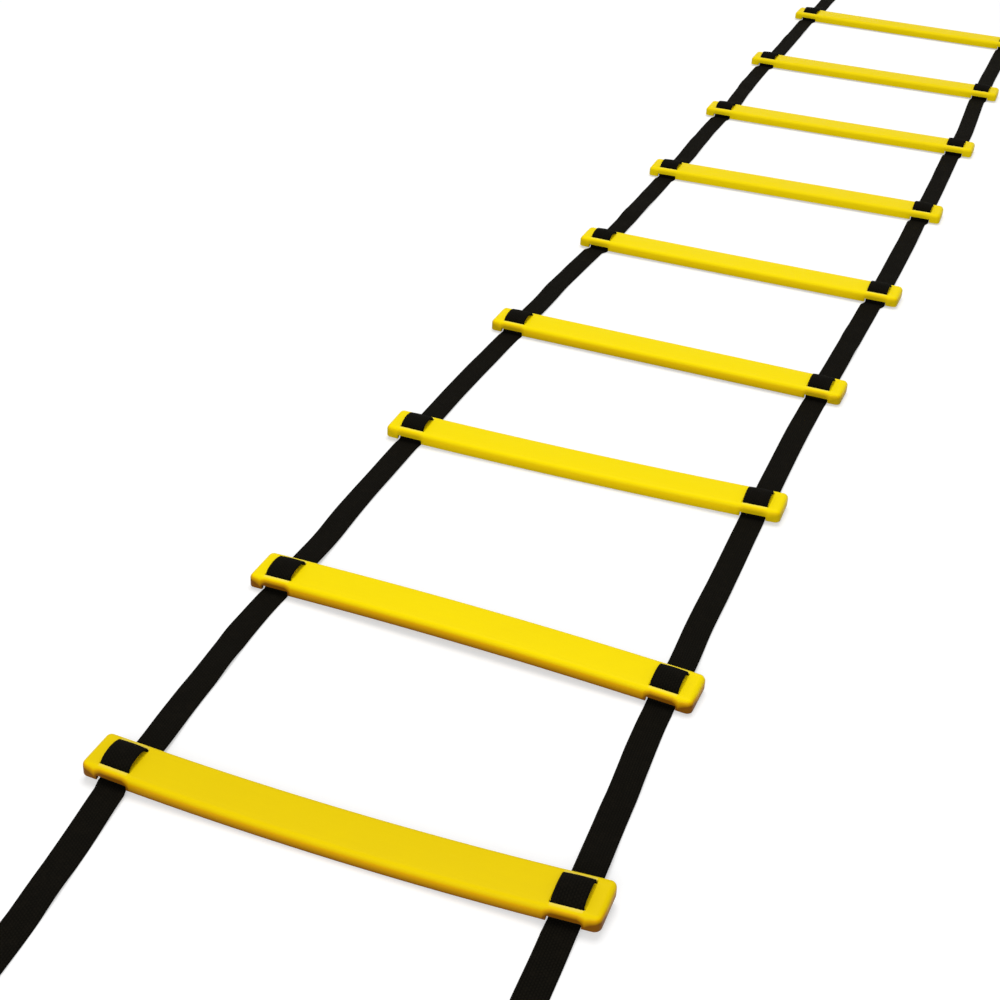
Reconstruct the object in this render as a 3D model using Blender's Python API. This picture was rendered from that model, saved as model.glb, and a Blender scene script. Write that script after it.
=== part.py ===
"""Agility ladder: nine moulded slats threaded on two flat webbing straps.

Metres, +Z up. The ladder lies on the ground along +Y with its near end at -Y.
Each strap is one webbing on the real ladder. Here it is cut at its fold lines,
so that every bay can gather into a tent and bring the next slat closer.
"""
import math

import bmesh
import bpy
from mathutils import Matrix, Vector

# Layout of the slats along the straps
RUNG_COUNT = 9
ROOT_RUNG = 5
RUNG_PITCH = 0.300
SPACING_SHARES = (0.924, 1.054, 0.948, 0.968, 1.016, 1.003, 1.015, 1.084)
SIDE_SHIFT_SHARES = (0.02, -0.006, -0.021, -0.017, 0.005, 0.009, 0.009, -0.001, 0.0)
TURN_DEGREES = (0.7, -1.6, 1.4, -0.7, -0.4, 1.3, 0.7, 0.4, -0.8)

# Moulded slat
RUNG_LENGTH = 0.420
RUNG_WIDTH = 0.042
RUNG_HEIGHT = 0.0125
RUNG_WALL = 0.0024
SIDE_WALL = 0.0032
PLAN_CORNER_RADIUS = 0.0055
TOP_EDGE_RADIUS = 0.005
CORNER_SEGMENTS = 4
EDGE_SEGMENTS = 4
CORNER_SHRINK_SHARE = 0.5
RIB_WALL = 0.0018
MIDDLE_RIBS = 6

# Webbing
STRAP_WIDTH = 0.025
STRAP_THICKNESS = 0.0016
STRAP_INSET = 0.027
STRAP_EXIT = 0.009

# Notches in both long walls that leave a thin bar over each strap
NOTCH_HEIGHT = 0.0046

# Window in the slat and the bridge that the webbing climbs over
WINDOW_RIM = 0.006
WINDOW_SIDE_GAP = 0.0008
WINDOW_LEDGE = 0.001
BRIDGE_ROOT = 0.0008
BRIDGE_SINK = 0.0002
CROWN_INSET = 0.004
HUMP_RISE = 0.0065
HUMP_DEGREES = 25.0
HUMP_STEPS = 6
SHOULDER_RADIUS = 0.004
SHOULDER_STEPS = 4
RAMP_DEGREES = 80.0
BEND_RADIUS = 0.0025
BEND_STEPS = 4

# Sewn loop at each strap end
TAIL_LENGTH = 0.300
TAIL_TURN_DEGREES = {("left", 1): 6.0, ("right", 1): 3.0, ("left", 9): 0.0, ("right", 9): 0.0}
LOOP_EYE_HEIGHT = 0.008
LOOP_SLOPE_DEGREES = 12.0
LOOP_SEAM = 0.028
LOOP_STEPS = 8
LOOP_BEND_RADIUS = 0.006

# Fits
SEAT_GAP = 0.0003
FOLD_GAP = 0.0004
OVERRUN = 0.002

# Values that follow from the sizes above
STRAP_OFFSET = RUNG_LENGTH / 2 - STRAP_INSET
RUNG_FLOOR = STRAP_THICKNESS + SEAT_GAP
RUNG_TOP = RUNG_FLOOR + RUNG_HEIGHT
RUNG_CEILING = RUNG_TOP - RUNG_WALL
WINDOW_WIDTH = STRAP_WIDTH + 2 * WINDOW_SIDE_GAP
WINDOW_DEPTH = RUNG_WIDTH - 2 * WINDOW_RIM
FOLD_REACH = RUNG_WIDTH / 2 + STRAP_EXIT
HUMP_TOP = RUNG_TOP + HUMP_RISE - STRAP_THICKNESS / 2
SIDES = {"left": -1, "right": 1}


def clear_scene():
    """Remove every object that the file opened with."""
    for old in list(bpy.data.objects):
        bpy.data.objects.remove(old, do_unlink=True)


def make_material(name, colour, roughness, metallic):
    """Return a Principled material."""
    material = bpy.data.materials.new(name)
    material.use_nodes = True
    shader = material.node_tree.nodes["Principled BSDF"]
    shader.inputs["Base Color"].default_value = (*colour, 1.0)
    shader.inputs["Roughness"].default_value = roughness
    shader.inputs["Metallic"].default_value = metallic
    return material


def link_mesh(name, mesh):
    """Put a mesh into the scene as a new object."""
    made = bpy.data.objects.new(name, mesh)
    bpy.context.scene.collection.objects.link(made)
    return made


def box_mesh(name, boxes):
    """Return a mesh of separate boxes, each given by its low and high corner."""
    shape = bmesh.new()
    for low, high in boxes:
        size = [high[axis] - low[axis] for axis in range(3)]
        middle = [(high[axis] + low[axis]) / 2 for axis in range(3)]
        place = Matrix.Translation(middle) @ Matrix.Diagonal((*size, 1.0))
        bmesh.ops.create_cube(shape, size=1.0, matrix=place)
    return finished_mesh(name, shape)


def apply_boolean(target, tool_mesh, operation):
    """Join or cut the target with a tool mesh, and keep only the result."""
    tool = link_mesh("tool", tool_mesh)
    step = target.modifiers.new("cut", "BOOLEAN")
    step.operation = operation
    step.solver = "EXACT"
    step.object = tool
    depsgraph = bpy.context.evaluated_depsgraph_get()
    result = bpy.data.meshes.new_from_object(target.evaluated_get(depsgraph))
    target.modifiers.clear()
    target.data = result
    bpy.data.objects.remove(tool, do_unlink=True)


# Slat

def rounded_ring(shape, inset, radius, height):
    """Add one level corner-rounded rectangle to a shape and return its corners in order."""
    ring = []
    half_length = RUNG_LENGTH / 2 - inset - radius
    half_width = RUNG_WIDTH / 2 - inset - radius
    quarters = ((1, 1), (-1, 1), (-1, -1), (1, -1))
    for quarter, (across, along) in enumerate(quarters):
        for index in range(CORNER_SEGMENTS + 1):
            angle = math.radians(90) * (quarter + index / CORNER_SEGMENTS)
            point = (across * half_length + radius * math.cos(angle),
                     along * half_width + radius * math.sin(angle), height)
            ring.append(shape.verts.new(point))
    return ring


def slat_block():
    """Return the slat's outer block with rounded corners and a rounded top edge."""
    shape = bmesh.new()
    rows = [rounded_ring(shape, 0, PLAN_CORNER_RADIUS, RUNG_FLOOR)]
    for index in range(EDGE_SEGMENTS + 1):
        angle = math.radians(90) * index / EDGE_SEGMENTS
        inset_share = 1 - math.cos(angle)
        inset = TOP_EDGE_RADIUS * inset_share
        radius = PLAN_CORNER_RADIUS * (1 - CORNER_SHRINK_SHARE * inset_share)
        height = RUNG_TOP - TOP_EDGE_RADIUS * (1 - math.sin(angle))
        rows.append(rounded_ring(shape, inset, radius, height))
    join_rings(shape, rows)
    return finished_mesh("slat_block", shape)


def join_rings(shape, rows):
    """Skin rings of corners into one closed body."""
    for here, there in zip(rows, rows[1:]):
        for index in range(len(here)):
            after = (index + 1) % len(here)
            shape.faces.new((here[index], here[after], there[after], there[index]))
    shape.faces.new(rows[0])
    shape.faces.new(list(reversed(rows[-1])))


def finished_mesh(name, shape):
    """Turn a shape's faces outwards and return it as a mesh."""
    bmesh.ops.recalc_face_normals(shape, faces=shape.faces)
    mesh = bpy.data.meshes.new(name)
    shape.to_mesh(mesh)
    shape.free()
    return mesh


def cell_spans():
    """Return where each hollow cell under the slat starts and ends along its length."""
    half_cell = WINDOW_WIDTH / 2 + WINDOW_LEDGE
    inner_end = STRAP_OFFSET - half_cell - RIB_WALL
    outer_start = STRAP_OFFSET + half_cell + RIB_WALL
    outer_end = RUNG_LENGTH / 2 - SIDE_WALL
    spans = []
    for side in SIDES.values():
        spans.append(sorted((side * (STRAP_OFFSET - half_cell), side * (STRAP_OFFSET + half_cell))))
        spans.append(sorted((side * outer_start, side * outer_end)))
    middle_cells = MIDDLE_RIBS + 1
    cell = (2 * inner_end - MIDDLE_RIBS * RIB_WALL) / middle_cells
    for index in range(middle_cells):
        start = -inner_end + index * (cell + RIB_WALL)
        spans.append((start, start + cell))
    return spans


def slat_cells():
    """Return boxes that hollow the slat from below and leave its cross ribs."""
    half_depth = RUNG_WIDTH / 2 - SIDE_WALL
    boxes = []
    for start, end in cell_spans():
        boxes.append(((start, -half_depth, RUNG_FLOOR - OVERRUN), (end, half_depth, RUNG_CEILING)))
    return boxes


def slat_windows():
    """Return boxes that open a window in the slat above each strap."""
    boxes = []
    for side in SIDES.values():
        middle = side * STRAP_OFFSET
        low = (middle - WINDOW_WIDTH / 2, -WINDOW_DEPTH / 2, RUNG_CEILING - OVERRUN)
        high = (middle + WINDOW_WIDTH / 2, WINDOW_DEPTH / 2, RUNG_TOP + OVERRUN)
        boxes.append((low, high))
    return boxes


def slat_notches():
    """Return boxes that notch both long walls where the straps pass under them."""
    boxes = []
    half_depth = RUNG_WIDTH / 2 + OVERRUN
    for side in SIDES.values():
        middle = side * STRAP_OFFSET
        low = (middle - WINDOW_WIDTH / 2, -half_depth, RUNG_FLOOR - OVERRUN)
        high = (middle + WINDOW_WIDTH / 2, half_depth, RUNG_FLOOR + NOTCH_HEIGHT)
        boxes.append((low, high))
    return boxes


def bridge_bars():
    """Return boxes for the flush bars that cross the windows."""
    boxes = []
    reach = WINDOW_WIDTH / 2 + BRIDGE_ROOT
    half_depth = crown_outline()[-1][0] + BRIDGE_SINK
    for side in SIDES.values():
        middle = side * STRAP_OFFSET
        low = (middle - reach, -half_depth, RUNG_CEILING - BRIDGE_SINK)
        high = (middle + reach, half_depth, RUNG_TOP - BRIDGE_SINK)
        boxes.append((low, high))
    return boxes


def crown_outline():
    """Return the crown's outline, which follows the webbing's hump from below."""
    under = STRAP_THICKNESS / 2 + SEAT_GAP
    hump = [station for station in threaded_path() if station[1] > RUNG_TOP]
    outline = [(along + under * math.sin(heading), height - under * math.cos(heading))
               for along, height, heading in hump]
    foot = RUNG_TOP - RUNG_WALL / 2
    return [(outline[0][0], foot)] + outline + [(outline[-1][0], foot)]


def bridge_crowns():
    """Return a mesh of the raised round crowns under the webbing humps."""
    outline = crown_outline()
    reach = STRAP_WIDTH / 2 - CROWN_INSET
    shape = bmesh.new()
    for side in SIDES.values():
        start = side * STRAP_OFFSET - reach
        ring = [shape.verts.new((start, along, height)) for along, height in outline]
        face = shape.faces.new(ring)
        moved = bmesh.ops.extrude_face_region(shape, geom=[face])
        corners = [item for item in moved["geom"] if isinstance(item, bmesh.types.BMVert)]
        bmesh.ops.translate(shape, verts=corners, vec=(2 * reach, 0, 0))
    return finished_mesh("bridge_crowns", shape)


def make_slat_mesh(material):
    """Return the finished slat mesh, centred on its strap line at ground level."""
    slat = link_mesh("slat_pattern", slat_block())
    apply_boolean(slat, box_mesh("slat_cells", slat_cells()), "DIFFERENCE")
    apply_boolean(slat, box_mesh("slat_notches", slat_notches()), "DIFFERENCE")
    apply_boolean(slat, box_mesh("slat_windows", slat_windows()), "DIFFERENCE")
    apply_boolean(slat, box_mesh("bridge_bars", bridge_bars()), "UNION")
    apply_boolean(slat, bridge_crowns(), "UNION")
    mesh = slat.data
    mesh.materials.clear()
    mesh.materials.append(material)
    mesh.shade_smooth()
    mesh.set_sharp_from_angle(angle=math.radians(30))
    bpy.data.objects.remove(slat, do_unlink=True)
    return mesh


# Places of the slats

def rung_frame(number):
    """Return the matrix that puts the slat of this number in its place."""
    along = RUNG_PITCH * sum(SPACING_SHARES[:number - 1])
    aside = RUNG_LENGTH * SIDE_SHIFT_SHARES[number - 1]
    turn = math.radians(TURN_DEGREES[number - 1])
    return Matrix.Translation((aside, along, 0)) @ Matrix.Rotation(turn, 4, "Z")


def fold_line(number, way):
    """Return how far along the ladder the webbing folds beside a slat: way is -1 or 1."""
    return rung_frame(number).translation.y + way * FOLD_REACH


def strap_edges(number, side, way):
    """Return where the strap's two edges meet the fold line beside a slat, in the slat's frame."""
    turn = math.radians(TURN_DEGREES[number - 1])
    edges = []
    for edge in (-1, 1):
        across = SIDES[side] * STRAP_OFFSET + edge * STRAP_WIDTH / 2
        along = (way * FOLD_REACH - across * math.sin(turn)) / math.cos(turn)
        edges.append(Vector((across, along, 0)))
    return edges


# Webbing

def walk(start, heading, moves):
    """Follow straight runs and bends in the plane of the strap's side view.

    Each move is (radius, degrees, steps) for a bend, or (length,) for a straight run.
    Returns (distance, height, heading) for each station.
    """
    along, height = start
    stations = [(along, height, heading)]
    for move in moves:
        if len(move) == 1:
            along += move[0] * math.cos(heading)
            height += move[0] * math.sin(heading)
            stations.append((along, height, heading))
            continue
        radius, degrees, steps = move
        bend = math.radians(degrees) / steps
        chord = 2 * radius * math.sin(abs(bend) / 2)
        for _ in range(steps):
            along += chord * math.cos(heading + bend / 2)
            height += chord * math.sin(heading + bend / 2)
            heading += bend
            stations.append((along, height, heading))
    return stations


def hump_radius():
    """Return the radius of the hump's top that leads the webbing down just inside the window."""
    ramp, hump = math.radians(RAMP_DEGREES), math.radians(HUMP_DEGREES)
    slot = WINDOW_DEPTH / 2 - SEAT_GAP - STRAP_THICKNESS / 2 / math.sin(ramp)
    shoulder_run = SHOULDER_RADIUS * (math.sin(ramp) - math.sin(hump))
    shoulder_drop = SHOULDER_RADIUS * (math.cos(hump) - math.cos(ramp))
    lean = (HUMP_TOP - shoulder_drop - RUNG_CEILING) / math.tan(ramp)
    return (slot - shoulder_run - lean) / (math.sin(hump) - (1 - math.cos(hump)) / math.tan(ramp))


def threaded_path():
    """Return the webbing's path under one lip, over the bridge and under the other lip."""
    ramp, hump = math.radians(RAMP_DEGREES), math.radians(HUMP_DEGREES)
    low = STRAP_THICKNESS / 2
    top_radius = hump_radius()
    shoulder_degrees = RAMP_DEGREES - HUMP_DEGREES
    shoulder_run = SHOULDER_RADIUS * (math.sin(ramp) - math.sin(hump))
    shoulder_drop = SHOULDER_RADIUS * (math.cos(hump) - math.cos(ramp))
    hump_drop = top_radius * (1 - math.cos(hump))
    bend_rise = BEND_RADIUS * (1 - math.cos(ramp))
    ramp_length = (HUMP_TOP - hump_drop - shoulder_drop - low - bend_rise) / math.sin(ramp)
    half_run = (top_radius * math.sin(hump) + shoulder_run + ramp_length * math.cos(ramp)
                + BEND_RADIUS * math.sin(ramp))
    moves = [(BEND_RADIUS, RAMP_DEGREES, BEND_STEPS), (ramp_length,),
             (SHOULDER_RADIUS, -shoulder_degrees, SHOULDER_STEPS),
             (top_radius, -2 * HUMP_DEGREES, HUMP_STEPS),
             (SHOULDER_RADIUS, -shoulder_degrees, SHOULDER_STEPS), (ramp_length,),
             (BEND_RADIUS, RAMP_DEGREES, BEND_STEPS)]
    return walk((-half_run, low), 0.0, moves)


def layer(station):
    """Return the lower and upper point of the webbing at a station, in its side view."""
    along, height, heading = station
    rise = STRAP_THICKNESS / 2
    lean = (-math.sin(heading) * rise, math.cos(heading) * rise)
    return (along - lean[0], height - lean[1]), (along + lean[0], height + lean[1])


def threaded_rings(number, side):
    """Return the rings of four corners along the webbing inside one slat."""
    frame = rung_frame(number)
    middle = SIDES[side] * STRAP_OFFSET
    rings = []
    near, far = (strap_edges(number, side, way) for way in (-1, 1))
    rings.append(flat_ring(frame, near))
    for station in threaded_path():
        lower, upper = layer(station)
        ring = []
        for edge, (along, height) in ((-1, lower), (1, lower), (1, upper), (-1, upper)):
            ring.append(frame @ Vector((middle + edge * STRAP_WIDTH / 2, along, height)))
        rings.append(ring)
    rings.append(flat_ring(frame, far))
    return rings


def flat_ring(frame, edges):
    """Return the four corners of webbing that lies on the ground between two edge points."""
    top = Vector((0, 0, STRAP_THICKNESS))
    left, right = edges
    return [frame @ left, frame @ right, frame @ (right + top), frame @ (left + top)]


def tail_path():
    """Return the path from the fold line to the end of the sewn loop, seen from the side."""
    radius = (LOOP_EYE_HEIGHT + STRAP_THICKNESS) / 2
    slope = math.radians(LOOP_SLOPE_DEGREES)
    low = STRAP_THICKNESS / 2
    seam_height = low + STRAP_THICKNESS + SEAT_GAP
    turn_height = low + radius * (1 + math.cos(slope))
    drop = turn_height - seam_height - LOOP_BEND_RADIUS * (1 - math.cos(slope))
    straight = TAIL_LENGTH - FOLD_REACH - radius
    moves = [(straight,), (radius, 180 + LOOP_SLOPE_DEGREES, LOOP_STEPS), (drop / math.sin(slope),),
             (LOOP_BEND_RADIUS, -LOOP_SLOPE_DEGREES, 2), (LOOP_SEAM,)]
    return walk((0, low), 0.0, moves)[1:]


def tail_rings(number, side, way, fold_ring):
    """Return the rings of the strap's free end, from its fold line to the loop's seam."""
    turn = math.radians(TAIL_TURN_DEGREES[(side, number)])
    start = (fold_ring[0] + fold_ring[1]) / 2
    outwards = Vector((-way * math.sin(turn), way * math.cos(turn), 0))
    across = Vector((math.cos(turn), math.sin(turn), 0))
    rings = []
    for station in tail_path():
        lower, upper = layer(station)
        ring = []
        for edge, (along, height) in ((-1, lower), (1, lower), (1, upper), (-1, upper)):
            point = start + outwards * along + across * (edge * STRAP_WIDTH / 2)
            ring.append(Vector((point.x, point.y, height)))
        rings.append(ring)
    return rings


def ribbon_mesh(name, rings, material):
    """Return a closed mesh that joins rings of four corners."""
    shape = bmesh.new()
    join_rings(shape, [[shape.verts.new(corner) for corner in ring] for ring in rings])
    mesh = finished_mesh(name, shape)
    mesh.materials.append(material)
    return mesh


def pull_back(ring, direction):
    """Return a ring moved along the ladder by half the gap at a fold."""
    return [corner + Vector((0, direction * FOLD_GAP / 2, 0)) for corner in ring]


def threaded_strap_mesh(number, side, material):
    """Return the webbing inside one slat, with the strap's free end on the first and last."""
    rings = threaded_rings(number, side)
    if number == 1:
        rings = list(reversed(tail_rings(number, side, -1, rings[0]))) + rings
    else:
        rings[0] = pull_back(rings[0], 1)
    if number == RUNG_COUNT:
        rings = rings + tail_rings(number, side, 1, rings[-1])
    else:
        rings[-1] = pull_back(rings[-1], -1)
    return ribbon_mesh(f"{side}_strap_rung_{number}", rings, material)


def bay_rings(bay, side):
    """Return the flat webbing's cross sections at the start, middle and end of one bay."""
    start = flat_ring(rung_frame(bay), strap_edges(bay, side, 1))
    end = flat_ring(rung_frame(bay + 1), strap_edges(bay + 1, side, -1))
    middle = [(first + last) / 2 for first, last in zip(start, end)]
    return start, middle, end


# Bodies and their pivots

def pivot_points(bay):
    """Return the fold axes of a bay: beside its first slat, at its crease, beside its second slat."""
    start, end = fold_line(bay, 1), fold_line(bay + 1, -1)
    return (Vector((0, start, STRAP_THICKNESS)), Vector((0, (start + end) / 2, 0)),
            Vector((0, end, STRAP_THICKNESS)))


def make_pivot(name, place):
    """Return an empty that stands on a body's joint axis."""
    pivot = bpy.data.objects.new(name, None)
    pivot.empty_display_size = STRAP_WIDTH
    pivot.location = place
    bpy.context.scene.collection.objects.link(pivot)
    return pivot


def hang_on(pivot, name, mesh):
    """Link a mesh that is drawn in place, with its origin moved to its body's pivot."""
    mesh.transform(Matrix.Translation(-pivot.location))
    made = link_mesh(name, mesh)
    made.parent = pivot
    return made


def rung_pivot_place(number):
    """Return the joint that carries a slat: on the side that faces the root slat."""
    if number == ROOT_RUNG:
        return rung_frame(number).translation
    if number > ROOT_RUNG:
        return pivot_points(number - 1)[2]
    return pivot_points(number)[0]


def build_rung(number, slat_mesh, webbing):
    """Build one slat and the two threaded webbing sections that move with it."""
    pivot = make_pivot(f"rung_{number}_pivot", rung_pivot_place(number))
    slat = link_mesh(f"rung_{number}", slat_mesh)
    slat.parent = pivot
    frame = rung_frame(number)
    slat.location = frame.translation - pivot.location
    slat.rotation_euler = frame.to_euler()
    for side in SIDES:
        hang_on(pivot, f"{side}_strap_rung_{number}", threaded_strap_mesh(number, side, webbing))
    return pivot


def build_bay(bay, webbing):
    """Build the two halves of both straps between one slat and the next."""
    first_fold, crease, last_fold = pivot_points(bay)
    front_place = first_fold if bay >= ROOT_RUNG else crease
    back_place = crease if bay >= ROOT_RUNG else last_fold
    front = make_pivot(f"bay_{bay}_front_pivot", front_place)
    back = make_pivot(f"bay_{bay}_back_pivot", back_place)
    for side in SIDES:
        start, middle, end = bay_rings(bay, side)
        front_rings = (pull_back(start, 1), pull_back(middle, -1))
        back_rings = (pull_back(middle, 1), pull_back(end, -1))
        name = f"{side}_strap_bay_{bay}_front"
        hang_on(front, name, ribbon_mesh(name, front_rings, webbing))
        name = f"{side}_strap_bay_{bay}_back"
        hang_on(back, name, ribbon_mesh(name, back_rings, webbing))
    return [front, back]


def centre_on_ground(pivots):
    """Move everything so that the middle of the ladder's base is at the origin."""
    bpy.context.view_layer.update()
    corners = []
    for item in bpy.context.scene.objects:
        if item.type == "MESH":
            corners.extend(item.matrix_world @ vertex.co for vertex in item.data.vertices)
    low = Vector([min(corner[axis] for corner in corners) for axis in range(3)])
    high = Vector([max(corner[axis] for corner in corners) for axis in range(3)])
    shift = -(low + high) / 2
    shift.z = -low.z
    for pivot in pivots:
        pivot.location += shift
    bpy.context.view_layer.update()


def main():
    """Build the whole ladder."""
    clear_scene()
    yellow = make_material("yellow_moulded_plastic", (0.83, 0.65, 0.0), 0.38, 0.0)
    webbing = make_material("black_webbing", (0.010, 0.009, 0.007), 0.85, 0.0)
    slat_mesh = make_slat_mesh(yellow)
    pivots = []
    for number in range(1, RUNG_COUNT + 1):
        pivots.append(build_rung(number, slat_mesh, webbing))
    for bay in range(1, RUNG_COUNT):
        pivots.extend(build_bay(bay, webbing))
    centre_on_ground(pivots)


main()
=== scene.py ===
"""Looks of the agility ladder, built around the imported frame.

Nine moulded slats lie on two flat webbing straps. Metres, +Z up, and the
ladder runs along +Y with its near end at -Y.
"""

import logging
import math
import random
from dataclasses import dataclass, field
from enum import Enum
from typing import Callable, Sequence

import bpy
from mathutils import Matrix, Vector


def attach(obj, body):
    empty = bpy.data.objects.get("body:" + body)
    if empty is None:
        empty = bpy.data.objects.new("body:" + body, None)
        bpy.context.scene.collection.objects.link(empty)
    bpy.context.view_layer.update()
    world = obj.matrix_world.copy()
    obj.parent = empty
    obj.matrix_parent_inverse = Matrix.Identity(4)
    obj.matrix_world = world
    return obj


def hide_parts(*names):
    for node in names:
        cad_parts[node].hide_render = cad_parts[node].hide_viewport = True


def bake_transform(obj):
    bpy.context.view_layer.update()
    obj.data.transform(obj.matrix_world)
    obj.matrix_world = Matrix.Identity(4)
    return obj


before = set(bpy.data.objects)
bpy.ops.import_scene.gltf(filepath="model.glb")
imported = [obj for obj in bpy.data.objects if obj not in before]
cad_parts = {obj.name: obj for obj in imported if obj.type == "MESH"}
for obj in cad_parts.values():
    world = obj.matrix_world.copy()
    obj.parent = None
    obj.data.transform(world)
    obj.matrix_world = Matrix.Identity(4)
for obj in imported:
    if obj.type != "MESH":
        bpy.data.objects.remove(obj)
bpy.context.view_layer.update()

LOG = logging.getLogger("ladder")
MM = 0.001
# Heights and places closer than this count as the same when edges are picked
SAME = 0.1 * MM


class Side(Enum):
    """The two straps, with the sign of their place across the ladder."""

    LEFT = -1
    RIGHT = 1

    @property
    def word(self) -> str:
        """Return the side's name as the parts use it."""
        return self.name.lower()


class Way(Enum):
    """The two directions along the ladder."""

    FRONT = -1
    BACK = 1

    @property
    def word(self) -> str:
        """Return the direction's name as the parts use it."""
        return self.name.lower()


# Working with Blender's operators

def deselect_all() -> None:
    """Leave object mode with nothing selected."""
    if bpy.context.object and bpy.context.object.mode != "OBJECT":
        bpy.ops.object.mode_set(mode="OBJECT")
    bpy.ops.object.select_all(action="DESELECT")


def take(piece: bpy.types.Object) -> None:
    """Select one piece alone and make it the active one.

    Args:
        piece: the piece.
    """
    deselect_all()
    piece.select_set(True)
    bpy.context.view_layer.objects.active = piece


def edit(piece: bpy.types.Object, mode: str = "FACE") -> None:
    """Open a piece in edit mode with nothing selected.

    Args:
        piece: the piece to open.
        mode: what is selected there: VERT, EDGE or FACE.
    """
    take(piece)
    bpy.ops.object.mode_set(mode="EDIT")
    bpy.ops.mesh.select_mode(type=mode)
    bpy.ops.mesh.select_all(action="DESELECT")


def pick_faces(piece: bpy.types.Object, wanted: Callable[[bpy.types.MeshPolygon], bool]) -> int:
    """Select the faces that a test wants, and stay in edit mode.

    Args:
        piece: the piece that is open in edit mode.
        wanted: says for each face whether it is selected.

    Returns:
        How many faces are selected.
    """
    bpy.ops.mesh.select_all(action="DESELECT")
    bpy.ops.object.mode_set(mode="OBJECT")
    count = 0
    for face in piece.data.polygons:
        face.select = wanted(face)
        count += face.select
    bpy.ops.object.mode_set(mode="EDIT")
    return count


def pick_edges(piece: bpy.types.Object, wanted: Callable[[Vector, Vector], bool]) -> int:
    """Select the edges whose two ends a test wants, and stay in edit mode.

    Args:
        piece: the piece that is open in edit mode.
        wanted: says for each edge's two ends whether it is selected.

    Returns:
        How many edges are selected.
    """
    bpy.ops.mesh.select_all(action="DESELECT")
    bpy.ops.object.mode_set(mode="OBJECT")
    count = 0
    corners = piece.data.vertices
    for line in piece.data.edges:
        line.select = wanted(corners[line.vertices[0]].co, corners[line.vertices[1]].co)
        count += line.select
    bpy.ops.object.mode_set(mode="EDIT")
    return count


def place_box(name: str, low: Sequence[float], high: Sequence[float]) -> bpy.types.Object:
    """Add a box between two corners, with its place in its mesh.

    Args:
        name: the new object's name.
        low: the lowest corner.
        high: the highest corner.

    Returns:
        The new object.
    """
    deselect_all()
    middle = [(a + b) / 2 for a, b in zip(low, high)]
    bpy.ops.mesh.primitive_cube_add(size=1, location=middle)
    made = bpy.context.object
    made.name = name
    made.scale = [b - a for a, b in zip(low, high)]
    bpy.ops.object.transform_apply(location=True, rotation=True, scale=True)
    return made


def add_modifier(piece: bpy.types.Object, kind: str, **settings: object) -> None:
    """Add a modifier with its settings and apply it.

    Args:
        piece: the piece that gets it.
        kind: the modifier's type.
        settings: the modifier's settings by name.
    """
    take(piece)
    step = piece.modifiers.new(kind.lower(), kind)
    for key, value in settings.items():
        setattr(step, key, value)
    bpy.ops.object.modifier_apply(modifier=step.name)


def carve(piece: bpy.types.Object, tool: bpy.types.Object, operation: str) -> None:
    """Cut or join a piece with a tool shape, which is then removed.

    Args:
        piece: the piece to change.
        tool: the shape that cuts or is joined.
        operation: DIFFERENCE or UNION.
    """
    add_modifier(piece, "BOOLEAN", operation=operation, solver="EXACT", object=tool)
    bpy.data.objects.remove(tool, do_unlink=True)


def own_copy(piece: bpy.types.Object, name: str) -> bpy.types.Object:
    """Copy a piece with a mesh of its own.

    Args:
        piece: the pattern.
        name: the copy's name.

    Returns:
        The copy.
    """
    made = piece.copy()
    made.data = piece.data.copy()
    made.name = name
    made.data.name = name
    bpy.context.scene.collection.objects.link(made)
    return made


def finish_shell(piece: bpy.types.Object, weld: float, degrees: float) -> None:
    """Merge doubled corners, close holes, turn the faces outwards and shade smoothly.

    Args:
        piece: the piece to close.
        weld: corners nearer to each other than this become one.
        degrees: edges sharper than this stay sharp.
    """
    edit(piece, "VERT")
    bpy.ops.mesh.select_all(action="SELECT")
    bpy.ops.mesh.remove_doubles(threshold=weld)
    bpy.ops.mesh.select_all(action="DESELECT")
    bpy.ops.mesh.select_non_manifold()
    bpy.ops.mesh.fill_holes(sides=0)
    bpy.ops.mesh.select_all(action="SELECT")
    bpy.ops.mesh.normals_make_consistent(inside=False)
    take_out_of_edit(piece)
    bpy.ops.object.shade_smooth_by_angle(angle=math.radians(degrees))


def take_out_of_edit(piece: bpy.types.Object) -> None:
    """Close edit mode and keep the piece selected."""
    bpy.ops.object.mode_set(mode="OBJECT")
    take(piece)


# Working with materials

def linear(colour: str) -> tuple[float, float, float, float]:
    """Turn an sRGB hex colour into the linear colour that a shader takes.

    Args:
        colour: six hex digits, such as f2d20a.

    Returns:
        Red, green, blue and alpha.
    """
    values = []
    for start in (0, 2, 4):
        share = int(colour[start:start + 2], 16) / 255
        values.append(share / 12.92 if share <= 0.04045 else ((share + 0.055) / 1.055) ** 2.4)
    return (*values, 1.0)


def add_node(tree: bpy.types.NodeTree, kind: str, settings: dict | None = None,
             inputs: dict | None = None, ramp: Sequence | None = None) -> bpy.types.Node:
    """Add a node with its settings and links.

    Args:
        tree: the tree that gets the node.
        kind: the node's type.
        settings: the node's own settings by name.
        inputs: a value, or a socket to link from, by input name or number.
        ramp: places and colours of a colour ramp.

    Returns:
        The new node.
    """
    node = tree.nodes.new(kind)
    for key, value in (settings or {}).items():
        setattr(node, key, value)
    for key, value in (inputs or {}).items():
        if isinstance(value, bpy.types.NodeSocket):
            tree.links.new(value, node.inputs[key])
        else:
            node.inputs[key].default_value = value
    if ramp:
        elements = node.color_ramp.elements
        while len(elements) < len(ramp):
            elements.new(0.5)
        for element, (place, colour) in zip(elements, ramp):
            element.position = place
            element.color = colour
    return node


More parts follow.
